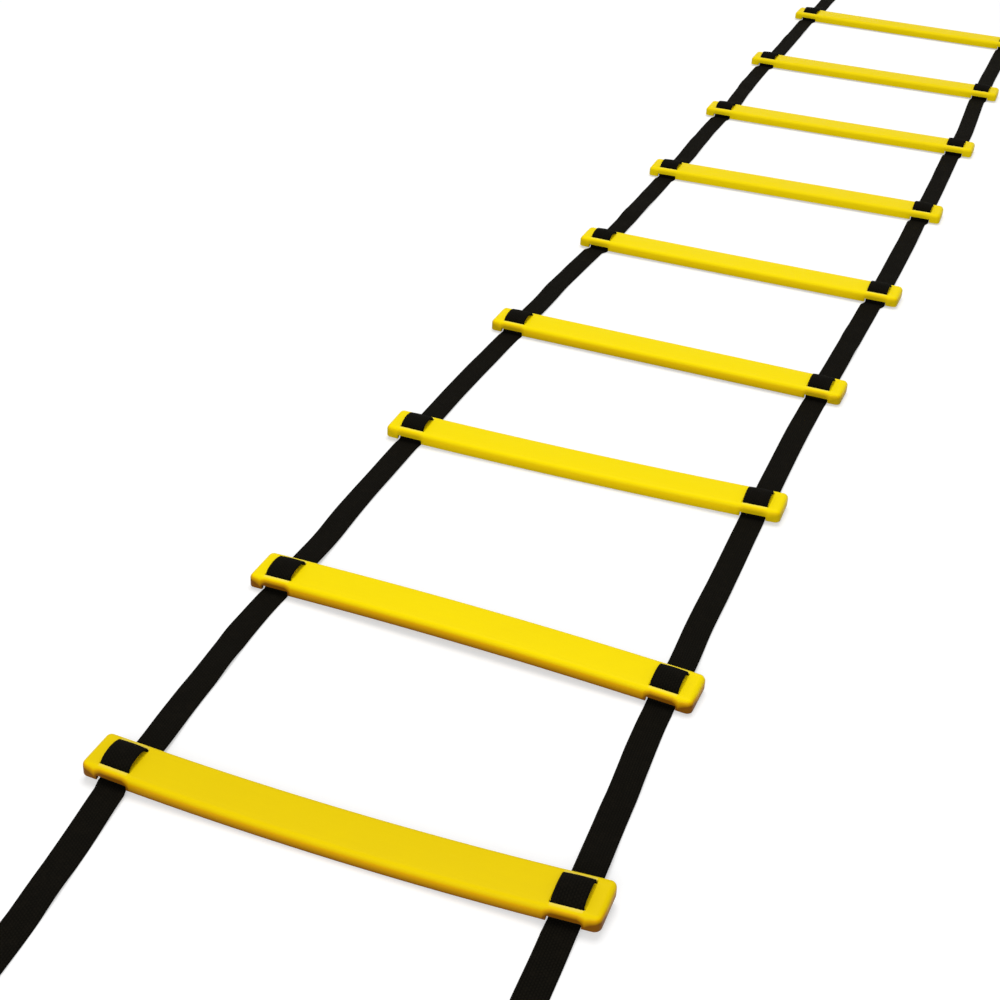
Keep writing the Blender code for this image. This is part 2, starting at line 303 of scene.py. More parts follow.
def new_material(name: str) -> tuple[bpy.types.Material, bpy.types.NodeTree]:
    """Make a material with an empty node tree.

    Args:
        name: the material's name.

    Returns:
        The material and its tree.
    """
    material = bpy.data.materials.new(name)
    material.use_nodes = True
    material.node_tree.nodes.clear()
    return material, material.node_tree


def dress(piece: bpy.types.Object, material: bpy.types.Material) -> None:
    """Give a piece one material."""
    piece.data.materials.clear()
    piece.data.materials.append(material)


@dataclass(frozen=True)
class MouldedPolypropylene:
    """Injection-moulded polypropylene, coloured right through.

    The eye sees a saturated yellow with a soft gloss, faint flow streaks along
    the slat, a fine orange-peel skin, and pale rub marks where slats are stepped on.
    A pale highlight is painted on the thin bars before and behind the windows. The
    yellow differs a little from slat to slat, and painted shade darkens the lower
    edges in brown and reaches higher up on the front bars and the front corners. The
    places of bars, straps and corners are measured from the slat's middle.
    """

    yellow: str = "fbe100"
    deep_yellow: str = "e9cb02"
    rubbed: str = "fbe640"
    # Pale highlight painted on the thin bars before and behind the windows
    rim_highlight: str = "fdec86"
    # Painted shade on the lower edges: dark brown at the foot, orange higher up, then the yellow
    foot: str = "7c4c06"
    side: str = "e0a800"
    refraction: float = 1.49
    specular: float = 0.04
    roughness_range: tuple = (0.39, 0.53)
    tone_range: tuple = (0.15, 1.0)
    mottle_mm: float = 38.0
    streak_mm: float = 5.0
    streak_stretch: float = 0.09
    streak_share: float = 0.45
    streak_range: tuple = (0.4, 1.0)
    rub_mm: float = 16.0
    rub_range: tuple = (0.62, 0.78)
    rub_strength: float = 0.35
    skin_mm: float = 1.6
    skin_height_mm: float = 0.05
    skin_strength: float = 0.35
    unevenness: float = 0.25
    # Shares of the slat's height where the painted shade is orange and where it ends
    side_share: float = 0.6
    unshaded_share: float = 0.98
    bar_start_mm: float = 15.0
    bar_end_mm: float = 18.5
    bar_lip_mm: float = 1.0
    bar_blur_mm: float = 0.6
    strap_place_mm: float = 183.0
    strap_half_mm: float = 12.5
    # How far beside the straps, how far towards the ends and how high the painted shade reaches on
    # the front bars and front corners
    shade_inside_mm: float = 3.0
    shade_outside_mm: float = 3.5
    corner_start_mm: float = 197.0
    corner_end_mm: float = 209.0
    corner_back_mm: float = 4.0
    shade_climb: float = 1.5

    def bar_mask(self, tree: bpy.types.NodeTree,
                 parts: bpy.types.Node) -> bpy.types.NodeSocket:
        """Add the nodes that find the thin bars before and behind the windows.

        Args:
            tree: the material's tree.
            parts: the point's place in its slat: millimetres across and along, share of height.

        Returns:
            1 on the bars, where a pale highlight is painted, and 0 elsewhere.
        """
        across = add_node(tree, "ShaderNodeMath", {"operation": "ABSOLUTE"}, {
            0: parts.outputs[0]})
        beside = add_node(tree, "ShaderNodeMath", {"operation": "COMPARE"}, {
            0: across.outputs[0], 1: self.strap_place_mm, 2: self.strap_half_mm})
        along = add_node(tree, "ShaderNodeMath", {"operation": "ABSOLUTE"}, {
            0: parts.outputs[1]})
        rim = add_node(tree, "ShaderNodeMapRange", inputs={
            "Value": along.outputs[0], "From Min": self.bar_start_mm,
            "From Max": self.bar_end_mm, "To Min": 1.0, "To Max": 0.0})
        inside = add_node(tree, "ShaderNodeMath", {"operation": "GREATER_THAN"}, {
            0: along.outputs[0], 1: self.bar_start_mm - self.bar_lip_mm})
        ledge = add_node(tree, "ShaderNodeMath", {"operation": "MULTIPLY"}, {
            0: rim.outputs[0], 1: inside.outputs[0]})
        return add_node(tree, "ShaderNodeMath", {"operation": "MULTIPLY"}, {
            0: ledge.outputs[0], 1: beside.outputs[0]}).outputs[0]

    def front_shade(self, tree: bpy.types.NodeTree,
                    parts: bpy.types.Node) -> bpy.types.NodeSocket:
        """Add the nodes that let painted shade reach higher on the front bars and the front
        corners.

        Args:
            tree: the material's tree.
            parts: the point's place in its slat: millimetres across and along, share of height.

        Returns:
            The share of the slat's height, less where the painted shade reaches higher.
        """
        across = add_node(tree, "ShaderNodeMath", {"operation": "ABSOLUTE"}, {
            0: parts.outputs[0]})
        aside = add_node(tree, "ShaderNodeMath", {"operation": "SUBTRACT"}, {
            0: across.outputs[0], 1: self.strap_place_mm})
        aside = add_node(tree, "ShaderNodeMath", {"operation": "ABSOLUTE"}, {
            0: aside.outputs[0]})
        beside = add_node(tree, "ShaderNodeMapRange", inputs={
            "Value": aside.outputs[0], "From Min": self.strap_half_mm - self.shade_inside_mm,
            "From Max": self.strap_half_mm + self.shade_outside_mm,
            "To Min": 1.0, "To Max": 0.0})
        corner = add_node(tree, "ShaderNodeMapRange", inputs={
            "Value": across.outputs[0], "From Min": self.corner_start_mm,
            "From Max": self.corner_end_mm})
        masks = []
        for mask, end in ((beside, self.bar_end_mm - self.bar_blur_mm),
                          (corner, self.corner_back_mm)):
            front = add_node(tree, "ShaderNodeMapRange", inputs={
                "Value": parts.outputs[1], "From Min": -self.bar_end_mm - self.bar_blur_mm,
                "From Max": -end, "To Min": self.shade_climb, "To Max": 0.0})
            masks.append(add_node(tree, "ShaderNodeMath", {"operation": "MULTIPLY"}, {
                0: mask.outputs[0], 1: front.outputs[0]}))
        more = add_node(tree, "ShaderNodeMath", {"operation": "MAXIMUM"}, {
            0: masks[0].outputs[0], 1: masks[1].outputs[0]})
        below = add_node(tree, "ShaderNodeMath", {"operation": "SUBTRACT"}, {
            0: parts.outputs[2], 1: 1.0})
        return add_node(tree, "ShaderNodeMath", {"operation": "MULTIPLY_ADD"}, {
            0: below.outputs[0], 1: more.outputs[0], 2: parts.outputs[2]}).outputs[0]

    def slat_yellow(self, tree: bpy.types.NodeTree, stretched: bpy.types.Node,
                  blend: bpy.types.Node) -> bpy.types.NodeSocket:
        """Add the nodes of the slat's own yellow with its rub marks.

        Args:
            tree: the material's tree.
            stretched: places that run long along the slat.
            blend: how the flow of the plastic varies.

        Returns:
            The yellow with its rub marks, before highlight and shade are painted on.
        """
        # Each slat's own tone sets its yellow between deep and full, deepest on the nearest slat
        tone = add_node(tree, "ShaderNodeAttribute", {"attribute_name": "slat_tone"})
        strength = add_node(tree, "ShaderNodeMath", {"operation": "MULTIPLY_ADD"}, {
            0: blend.outputs[0], 1: self.unevenness, 2: tone.outputs["Fac"]})
        pale, full = self.tone_range
        body = add_node(tree, "ShaderNodeValToRGB", inputs={"Fac": strength.outputs[0]}, ramp=(
            (pale, linear(self.deep_yellow)), (full, linear(self.yellow))))
        rubs = add_node(tree, "ShaderNodeTexNoise", inputs={
            "Vector": stretched.outputs[0], "Scale": 1000 / self.rub_mm, "Detail": 8.0,
            "Roughness": 0.75, "Distortion": 1.2})
        mask = add_node(tree, "ShaderNodeMapRange", inputs={
            "Value": rubs.outputs["Fac"], "From Min": self.rub_range[0],
            "From Max": self.rub_range[1], "To Max": self.rub_strength})
        return add_node(tree, "ShaderNodeMix", {"data_type": "RGBA"}, {
            "Factor": mask.outputs[0], 6: body.outputs["Color"],
            7: linear(self.rubbed)}).outputs[2]

    def shade_lower_edges(self, tree: bpy.types.NodeTree, parts: bpy.types.Node,
               colour: bpy.types.NodeSocket) -> bpy.types.NodeSocket:
        """Add the nodes that paint shade on the lower edges, as strong as each slat's share of it.

        Args:
            tree: the material's tree.
            parts: the point's place in its slat: millimetres across and along, share of height.
            colour: the colour before the shade is painted.

        Returns:
            The colour with its painted shade.
        """
        shaded = self.front_shade(tree, parts)
        # Painted shade: dark brown at the foot, orange on the side, yellow at the top
        depth = add_node(tree, "ShaderNodeValToRGB", inputs={"Fac": shaded}, ramp=(
            (0.0, linear(self.foot)), (self.side_share, linear(self.side)),
            (1.0, linear(self.yellow))))
        low = add_node(tree, "ShaderNodeMapRange", inputs={
            "Value": shaded, "From Min": self.side_share, "From Max": self.unshaded_share,
            "To Min": 1.0, "To Max": 0.0})
        painted_shade = add_node(tree, "ShaderNodeAttribute", {"attribute_name": "painted_shade"})
        mask = add_node(tree, "ShaderNodeMath", {"operation": "MULTIPLY"}, {
            0: low.outputs[0], 1: painted_shade.outputs["Fac"]})
        return add_node(tree, "ShaderNodeMix", {"data_type": "RGBA"}, {
            "Factor": mask.outputs[0], 6: colour, 7: depth.outputs["Color"]}).outputs[2]

    def material(self) -> bpy.types.Material:
        """Make the slats' material.

        Returns:
            The material.
        """
        made, tree = new_material("moulded_polypropylene_yellow")
        place = add_node(tree, "ShaderNodeTexCoord")
        mottle = add_node(tree, "ShaderNodeTexNoise", inputs={
            "Vector": place.outputs["Object"], "Scale": 1000 / self.mottle_mm, "Detail": 4.0,
            "Roughness": 0.6})
        stretched = add_node(tree, "ShaderNodeMapping", inputs={
            "Vector": place.outputs["Object"], "Scale": (self.streak_stretch, 1.0, 1.0)})
        streaks = add_node(tree, "ShaderNodeTexNoise", inputs={
            "Vector": stretched.outputs[0], "Scale": 1000 / self.streak_mm, "Detail": 3.0,
            "Roughness": 0.55, "Distortion": 0.4})
        blend = add_node(tree, "ShaderNodeMath", {"operation": "MULTIPLY_ADD"}, {
            0: streaks.outputs["Fac"], 1: self.streak_share, 2: mottle.outputs["Fac"]})
        plain_yellow = self.slat_yellow(tree, stretched, blend)
        local = add_node(tree, "ShaderNodeAttribute", {"attribute_name": "moulding_place"})
        parts = add_node(tree, "ShaderNodeSeparateXYZ", inputs={0: local.outputs["Vector"]})
        # A pale highlight is painted on the window bars, patchy with the mottle
        highlight_share = add_node(tree, "ShaderNodeMath", {"operation": "MULTIPLY"}, {
            0: self.bar_mask(tree, parts), 1: mottle.outputs["Fac"]})
        rim_highlight = add_node(tree, "ShaderNodeMix", {"data_type": "RGBA"}, {
            "Factor": highlight_share.outputs[0], 6: plain_yellow, 7: linear(self.rim_highlight)})
        # Painted shade darkens the lower edges, front bars and front corners
        colour = self.shade_lower_edges(tree, parts, rim_highlight.outputs[2])
        rough = add_node(tree, "ShaderNodeMapRange", inputs={
            "Value": blend.outputs[0], "From Min": self.streak_range[0],
            "From Max": self.streak_range[1], "To Min": self.roughness_range[0],
            "To Max": self.roughness_range[1]})
        skin = add_node(tree, "ShaderNodeTexNoise", inputs={
            "Vector": place.outputs["Object"], "Scale": 1000 / self.skin_mm, "Detail": 2.0})
        bump = add_node(tree, "ShaderNodeBump", inputs={
            "Height": skin.outputs["Fac"], "Distance": self.skin_height_mm * MM,
            "Strength": self.skin_strength})
        shader = add_node(tree, "ShaderNodeBsdfPrincipled", inputs={
            "Base Color": colour, "Roughness": rough.outputs[0],
            "Specular IOR Level": self.specular, "IOR": self.refraction,
            "Normal": bump.outputs[0]})
        add_node(tree, "ShaderNodeOutputMaterial", inputs={"Surface": shader.outputs[0]})
        return made


@dataclass(frozen=True)
class WovenWebbing:
    """Woven polypropylene webbing, dyed black.

    The eye sees a matt warm black with rows of raised ribs that cross like bricks,
    and dusty fuzz; the rib tops are painted lighter than the grooves, as painted
    highlight and shade. The real ribs are 1.2 mm apart, which is finer than the picture
    shows, so they are drawn 2.2 mm apart.
    """

    black: str = "080705"
    rib_painted_highlight: str = "14120d"
    dust: str = "1e1a13"
    roughness: float = 0.85
    specular: float = 0.02
    rib_mm: float = 2.2
    pick_mm: float = 3.0
    brick_shift: float = 0.5
    rib_fullness: float = 0.6
    rib_height_mm: float = 0.35
    rib_strength: float = 0.8
    fuzz_mm: float = 7.0
    fuzz_range: tuple = (0.5, 0.8)
    fuzz_strength: float = 0.4

    def weave_height(self, tree: bpy.types.NodeTree,
                     uv: bpy.types.NodeSocket) -> bpy.types.NodeSocket:
        """Add the nodes of the weave's relief.

        Args:
            tree: the material's tree.
            uv: metres across and along the webbing.

        Returns:
            The height, 0 between ribs and 1 on top of them.
        """
        parts = add_node(tree, "ShaderNodeSeparateXYZ", inputs={0: uv})
        across = add_node(tree, "ShaderNodeMath", {"operation": "MULTIPLY"}, {
            0: parts.outputs[0], 1: 1000 / self.rib_mm})
        row = add_node(tree, "ShaderNodeMath", {"operation": "FLOOR"}, {0: across.outputs[0]})
        shift = add_node(tree, "ShaderNodeMath", {"operation": "MULTIPLY"}, {
            0: row.outputs[0], 1: self.brick_shift})
        along = add_node(tree, "ShaderNodeMath", {"operation": "MULTIPLY_ADD"}, {
            0: parts.outputs[1], 1: 1000 / self.pick_mm, 2: shift.outputs[0]})
        waves = []
        for source in (across, along):
            share = add_node(tree, "ShaderNodeMath", {"operation": "FRACT"}, {
                0: source.outputs[0]})
            turned = add_node(tree, "ShaderNodeMath", {"operation": "MULTIPLY"}, {
                0: share.outputs[0], 1: math.pi})
            waves.append(add_node(tree, "ShaderNodeMath", {"operation": "SINE"}, {
                0: turned.outputs[0]}))
        product = add_node(tree, "ShaderNodeMath", {"operation": "MULTIPLY"}, {
            0: waves[0].outputs[0], 1: waves[1].outputs[0]})
        return add_node(tree, "ShaderNodeMath", {"operation": "POWER"}, {
            0: product.outputs[0], 1: self.rib_fullness}).outputs[0]

    def material(self) -> bpy.types.Material:
        """Make the straps' material.

        Returns:
            The material.
        """
        made, tree = new_material("woven_polypropylene_webbing_black")
        uv = add_node(tree, "ShaderNodeUVMap", {"uv_map": "webbing"})
        place = add_node(tree, "ShaderNodeTexCoord")
        height = self.weave_height(tree, uv.outputs[0])
        # The rib tops are painted lighter and the grooves darker, as painted highlight and shade
        woven = add_node(tree, "ShaderNodeMix", {"data_type": "RGBA"}, {
            "Factor": height, 6: linear(self.black), 7: linear(self.rib_painted_highlight)})
        fuzz = add_node(tree, "ShaderNodeTexNoise", inputs={
            "Vector": place.outputs["Object"], "Scale": 1000 / self.fuzz_mm, "Detail": 6.0,
            "Roughness": 0.7})
        fuzz_mask = add_node(tree, "ShaderNodeMapRange", inputs={
            "Value": fuzz.outputs["Fac"], "From Min": self.fuzz_range[0],
            "From Max": self.fuzz_range[1], "To Max": self.fuzz_strength})
        colour = add_node(tree, "ShaderNodeMix", {"data_type": "RGBA"}, {
            "Factor": fuzz_mask.outputs[0], 6: woven.outputs[2], 7: linear(self.dust)})
        bump = add_node(tree, "ShaderNodeBump", inputs={
            "Height": height, "Distance": self.rib_height_mm * MM,
            "Strength": self.rib_strength})
        shader = add_node(tree, "ShaderNodeBsdfPrincipled", inputs={
            "Base Color": colour.outputs[2], "Roughness": self.roughness,
            "Specular IOR Level": self.specular, "Normal": bump.outputs[0]})
        add_node(tree, "ShaderNodeOutputMaterial", inputs={"Surface": shader.outputs[0]})
        return made


@dataclass(frozen=True)
class BondedThread:
    """Bonded polyester sewing thread, dyed black and twisted.

    The eye sees a black a little paler and shinier than the webbing. The real twist
    is 0.9 mm long, which is finer than the picture shows, so slow bands stand for it
    and tilt the shine from stitch to stitch.
    """

    black: str = "1d1b19"
    roughness: float = 0.5
    specular: float = 0.35
    band_mm: float = 11.31
    band_height_mm: float = 0.1
    band_strength: float = 0.6

    def material(self) -> bpy.types.Material:
        """Make the stitches' material.

        Returns:
            The material.
        """
        made, tree = new_material("bonded_polyester_thread_black")
        place = add_node(tree, "ShaderNodeTexCoord")
        # At scale 1 this node's diagonal bands are a fifth of pi long
        bands = add_node(tree, "ShaderNodeTexWave", {"bands_direction": "DIAGONAL"}, {
            "Vector": place.outputs["Object"], "Scale": 1000 * math.pi / 5 / self.band_mm})
        bump = add_node(tree, "ShaderNodeBump", inputs={
            "Height": bands.outputs["Fac"], "Distance": self.band_height_mm * MM,
            "Strength": self.band_strength})
        shader = add_node(tree, "ShaderNodeBsdfPrincipled", inputs={
            "Base Color": linear(self.black), "Roughness": self.roughness,
            "Specular IOR Level": self.specular, "Normal": bump.outputs[0]})
        add_node(tree, "ShaderNodeOutputMaterial", inputs={"Surface": shader.outputs[0]})
        return made


# Layout

@dataclass
class Layout:
    """Where each slat lies and where the webbing folds.

    The values in tuples go from the first slat to the last. The spacing is a share
    of the pitch and the side shift a share of the slat's length.
    """

    slats: int = 9
    pitch: float = 300 * MM
    spacing: tuple = (0.924, 1.054, 0.948, 0.968, 1.016, 1.003, 1.015, 1.084)
    side_shift: tuple = (0.02, -0.006, -0.021, -0.017, 0.005, 0.009, 0.009, -0.001, 0.0)
    turn_degrees: tuple = (0.7, -1.6, 1.4, -0.7, -0.4, 1.3, 0.7, 0.4, -0.8)
    slat_length: float = 420 * MM
    slat_width: float = 42 * MM
    middle: tuple = (0.2812 * MM, -1201.6585 * MM)
    fold_reach: float = 30 * MM
    lift_mm: tuple = (-1.5, 3.6, -1.0, 0.4, 0.0, 0.5, 0.0, 0.2, 0.0)
    bow_mm: tuple = (5.0, -3.8, 2.4, -0.4, 0.8, -0.6, 0.6, 0.4, 0.5)
    plan_bow_mm: tuple = (3.0, -0.6, 0.8, 0.4, -0.4, 0.6, -0.3, 0.4, 0.3)
    lean_degrees: tuple = (2.4, 3.2, 0.5, 1.0, 0.3, 0.6, 0.0, 0.4, 0.2)
    twist_degrees: tuple = (1.8, -0.1, 0.0, -0.3, 0.2, 0.0, -0.2, 0.1, 0.0)
    # Each slat's tone of yellow, and how strongly painted shade darkens its lower edges
    slat_tone: tuple = (0.0, 0.7, 0.85, 0.9, 0.8, 0.6, 0.6, 0.5, 0.5)
    painted_shade: tuple = (1.0, 1.0, 0.45, 0.6, 0.4, 0.15, 0.15, 0.1, 0.1)

    def place(self, number: int) -> Matrix:
        """Work out where a slat lies.

        Args:
            number: the slat, from 1.

        Returns:
            The matrix that puts it in its place.
        """
        along = self.middle[1] + self.pitch * sum(self.spacing[:number - 1])
        aside = self.middle[0] + self.slat_length * self.side_shift[number - 1]
        turn = math.radians(self.turn_degrees[number - 1])
        return Matrix.Translation((aside, along, 0)) @ Matrix.Rotation(turn, 4, "Z")

    def rise(self, number: int, across: float, along: float) -> float:
        """Return how far a slat's bow, lean and twist lift it at one of its points.

        Args:
            number: the slat.
            across: the point's distance from the slat's middle along its length.
            along: the point's distance from the slat's middle along the ladder.

        Returns:
            The lift in metres.
        """
        share = 2 * across / self.slat_length
        lean = math.radians(self.lean_degrees[number - 1]
                            + self.twist_degrees[number - 1] * share)
        bow = self.lift_mm[number - 1] + self.bow_mm[number - 1] * share ** 2
        return bow * MM + (along + self.slat_width / 2) * math.sin(lean)

    def point(self, number: int, across: float, along: float, height: float = 0.0) -> Vector:
        """Move a point of a slat's own frame to its place, bent with the slat.

        Args:
            number: the slat.
            across: its distance from the slat's middle along its length.
            along: its distance from the slat's middle along the ladder.
            height: its height in the slat's own frame.

        Returns:
            The point on the ladder.
        """
        lifted = height + self.rise(number, across, along)
        curved = along + self.plan_bow_mm[number - 1] * MM * (
            (2 * across / self.slat_length) ** 2 - 1)
        return self.place(number) @ Vector((across, curved, lifted))

    def axes(self, number: int, across: float, along: float) -> tuple[Vector, Vector, Vector]:
        """Find a bent slat's directions at one of its points.

        Args:
            number: the slat.
            across: the point's distance from the slat's middle.
            along: the point's distance from its middle along the ladder.

        Returns:
            The directions across, along and up.
        """
        sideways = (self.point(number, across + MM, along)
                    - self.point(number, across - MM, along)).normalized()
        ahead = (self.point(number, across, along + MM)
                 - self.point(number, across, along - MM)).normalized()
        return sideways, ahead, sideways.cross(ahead).normalized()

    def fold(self, number: int, way: Way) -> float:
        """Return how far along the ladder the webbing folds beside a slat."""
        return self.place(number).translation.y + way.value * self.fold_reach

    def crease(self, bay: int) -> float:
        """Return how far along the ladder a bay's crease lies."""
        return (self.fold(bay, Way.BACK) + self.fold(bay + 1, Way.FRONT)) / 2


@dataclass
class Threading:
    """The webbing's path through one slat, seen from the slat's end."""

    thickness: float = 1.6 * MM
    gap: float = 0.3 * MM
    slat_top: float = 14.4 * MM
    slat_ceiling: float = 12.0 * MM
    hump_rise: float = 6.5 * MM
    window_depth: float = 30 * MM
    ramp_degrees: float = 80.0
    hump_degrees: float = 25.0
    shoulder_radius: float = 4 * MM
    bend_radius: float = 2.5 * MM
    bend_steps: int = 7
    ramp_steps: int = 3
    shoulder_steps: int = 7
    hump_steps: int = 14

    def path(self) -> list[tuple[float, float, float]]:
        """Work out the webbing's middle layer, from level ground over the bridge and back.

        Returns:
            Distance along the ladder, height and heading of each station.
        """
        ramp, hump = math.radians(self.ramp_degrees), math.radians(self.hump_degrees)
        low, top = self.thickness / 2, self.slat_top + self.hump_rise - self.thickness / 2
        run = self.shoulder_radius * (math.sin(ramp) - math.sin(hump))
        drop = self.shoulder_radius * (math.cos(hump) - math.cos(ramp))
        slot = self.window_depth / 2 - self.gap - low / math.sin(ramp)
        lean = (top - drop - self.slat_ceiling) / math.tan(ramp)
        radius = (slot - run - lean) / (math.sin(hump) - (1 - math.cos(hump)) / math.tan(ramp))
        rise = top - radius * (1 - math.cos(hump)) - drop - low
        ramp_length = (rise - self.bend_radius * (1 - math.cos(ramp))) / math.sin(ramp)
        half = (radius * math.sin(hump) + run + ramp_length * math.cos(ramp)
                + self.bend_radius * math.sin(ramp))
        shoulder = self.ramp_degrees - self.hump_degrees
        up = [(self.bend_radius, self.ramp_degrees, self.bend_steps),
              (ramp_length, 0.0, self.ramp_steps),
              (self.shoulder_radius, -shoulder, self.shoulder_steps)]
        over = [(radius, -2 * self.hump_degrees, self.hump_steps)]
        return walk((-half, low), 0.0, up + over + up[::-1])


def walk(start: tuple[float, float], heading: float,
         moves: Sequence[tuple[float, float, int]]) -> list[tuple[float, float, float]]:
    """Follow straight runs and bends in a strap's side view.

    Args:
        start: distance along and height.
        heading: the first direction, in radians above level.
        moves: radius, degrees and steps of a bend, or length, 0 and steps of a straight run.

    Returns:
        Distance, height and heading of each station.
    """
    along, height = start
    stations = [(along, height, heading)]
    for size, degrees, steps in moves:
        bend = math.radians(degrees) / steps
        step = size / steps if degrees == 0 else 2 * size * math.sin(abs(bend) / 2)
        for _ in range(steps):
            along += step * math.cos(heading + bend / 2)
            height += step * math.sin(heading + bend / 2)
            heading += bend
            stations.append((along, height, heading))
    return stations


# Slat

@dataclass
class Slat:
    """One moulded slat: a shallow hollow bar with a window and a bridge near both ends."""

    threading: Threading
    length: float = 420 * MM
    width: float = 42 * MM
    height: float = 12.5 * MM
    wall: float = 2.4 * MM
    side_wall: float = 3.2 * MM
    floor: float = 1.9 * MM
    plan_radius: float = 5.5 * MM
    edge_radius: float = 5.0 * MM
    foot_radius: float = 0.5 * MM
    cell_radius: float = 2.0 * MM
    rib: float = 1.8 * MM
    middle_ribs: int = 6
    strap_offset: float = 183 * MM
    window_width: float = 26.6 * MM
    window_corner: float = 1.2 * MM
    notch_height: float = 4.6 * MM
    notch_corner: float = 1.4 * MM
    rim_radius: float = 0.8 * MM
    ledge: float = 1.0 * MM
    bridge_root: float = 0.8 * MM
    strap_width: float = 25 * MM
    crown_inset: float = 4.0 * MM
    crown_radius: float = 1.3 * MM
    bar_sink: float = 1.0 * MM
    bar_margin: float = 0.2 * MM
    overrun: float = 2.0 * MM
    slice_length: float = 15 * MM
    plan_segments: int = 7
    edge_segments: int = 9
    foot_segments: int = 2
    cell_segments: int = 3
    corner_segments: int = 4
    crown_segments: int = 3
    rim_steps: int = 5
    weld: float = 0.002 * MM
    smooth_degrees: float = 32.0

    @property
    def top(self) -> float:
        """Return the height of the slat's upper face."""
        return self.floor + self.height

    @property
    def ceiling(self) -> float:
        """Return the height of the hollow's upper face."""
        return self.top - self.wall

    def block(self) -> bpy.types.Object:
        """Model the solid bar with rounded corners and edges.

        Returns:
            The bar.
        """
        slat = place_box("slat", (-self.length / 2, -self.width / 2, self.floor),
                         (self.length / 2, self.width / 2, self.top))
        edit(slat, "EDGE")
        pick_edges(slat, lambda a, b: abs(a.z - b.z) > self.height / 2)
        bpy.ops.mesh.bevel(offset=self.plan_radius, segments=self.plan_segments, affect="EDGES")
        pick_edges(slat, lambda a, b: min(a.z, b.z) > self.top - self.overrun)
        bpy.ops.mesh.bevel(offset=self.edge_radius, segments=self.edge_segments, affect="EDGES")
        pick_edges(slat, lambda a, b: max(a.z, b.z) < self.floor + SAME)
        bpy.ops.mesh.bevel(offset=self.foot_radius, segments=self.foot_segments, affect="EDGES")
        take_out_of_edit(slat)
        return slat

    def cell_spans(self) -> list[tuple[float, float]]:
        """Share the slat's underside out into cells between ribs.

        Returns:
            Where each cell starts and ends along the slat.
        """
        half_cell = self.window_width / 2 + self.ledge
        inner = self.strap_offset - half_cell - self.rib
        outer = self.strap_offset + half_cell + self.rib
        spans = []
        for side in Side:
            ends = ((self.strap_offset - half_cell, self.strap_offset + half_cell),
                    (outer, self.length / 2 - self.side_wall))
            spans.extend(tuple(sorted((side.value * a, side.value * b))) for a, b in ends)
        cell = (2 * inner - self.middle_ribs * self.rib) / (self.middle_ribs + 1)
        for index in range(self.middle_ribs + 1):
            start = -inner + index * (cell + self.rib)
            spans.append((start, start + cell))
        return spans

    def hollow(self, slat: bpy.types.Object) -> None:
        """Cut the cells between the ribs out of the underside.

        Args:
            slat: the solid bar.
        """
        half = self.width / 2 - self.side_wall
        for start, end in self.cell_spans():
            cell = place_box("cell", (start, -half, self.floor - self.overrun),
                             (end, half, self.ceiling))
            edit(cell, "EDGE")
            pick_edges(cell, lambda a, b: min(a.z, b.z) > self.floor
                       and abs(abs((a.y + b.y) / 2) - half) < SAME)
            bpy.ops.mesh.bevel(offset=self.cell_radius, segments=self.cell_segments,
                               affect="EDGES")
            take_out_of_edit(cell)
            carve(slat, cell, "DIFFERENCE")

    def window_tool(self, side: Side) -> bpy.types.Object:
        """Model the shape that cuts a window and rounds its rim.

        Args:
            side: the strap that the window is for.

        Returns:
            The cutting shape.
        """
        middle = side.value * self.strap_offset
        half = self.threading.window_depth / 2
        tool = place_box("window", (middle - self.window_width / 2, -half,
                                    self.ceiling - self.overrun),
                         (middle + self.window_width / 2, half, self.top - self.rim_radius))
        edit(tool, "EDGE")
        pick_edges(tool, lambda a, b: abs(a.z - b.z) > MM)
        bpy.ops.mesh.bevel(offset=self.window_corner, segments=self.corner_segments,
                           affect="EDGES")
        bpy.ops.mesh.select_mode(type="FACE")
        pick_faces(tool, lambda face: face.normal.z > 0.9)
        step = math.radians(90) / self.rim_steps
        flared = 0.0
        for index in range(1, self.rim_steps + 1):
            wanted = self.rim_radius * (1 - math.cos(step * index))
            rise = self.rim_radius * (math.sin(step * index) - math.sin(step * (index - 1)))
            bpy.ops.mesh.extrude_region_move(TRANSFORM_OT_translate={"value": (0, 0, rise)})
            grown = [(size + wanted) / (size + flared) for size in (self.window_width / 2, half)]
            bpy.ops.transform.resize(value=(*grown, 1))
            flared = wanted
        bpy.ops.mesh.extrude_region_move(TRANSFORM_OT_translate={"value": (0, 0, self.overrun)})
        take_out_of_edit(tool)
        return tool

    def notch_tool(self, side: Side) -> bpy.types.Object:
        """Model the shape that notches both long walls where the strap passes under them.

        Args:
            side: the strap that passes.

        Returns:
            The cutting shape.
        """
        middle = side.value * self.strap_offset
        reach = self.width / 2 + self.overrun
        tool = place_box("notch", (middle - self.window_width / 2, -reach,
                                   self.floor - self.overrun),
                         (middle + self.window_width / 2, reach,
                          self.floor + self.notch_height))
        edit(tool, "EDGE")
        pick_edges(tool, lambda a, b: abs(a.y - b.y) > MM and min(a.z, b.z) > self.floor)
        bpy.ops.mesh.bevel(offset=self.notch_corner, segments=self.corner_segments,
                           affect="EDGES")
        take_out_of_edit(tool)
        return tool

    def crown_outline(self) -> list[tuple[float, float]]:
        """Draw the bridge crown's outline, which follows the webbing's hump from below.

        Returns:
            Place along the ladder and height of each corner.
        """
        under = self.threading.thickness / 2 + self.threading.gap
        points = [(along + under * math.sin(heading), height - under * math.cos(heading))
                  for along, height, heading in self.threading.path() if height > self.top]
        foot = self.top - self.wall / 2
        return [(points[0][0], foot), *points, (points[-1][0], foot)]

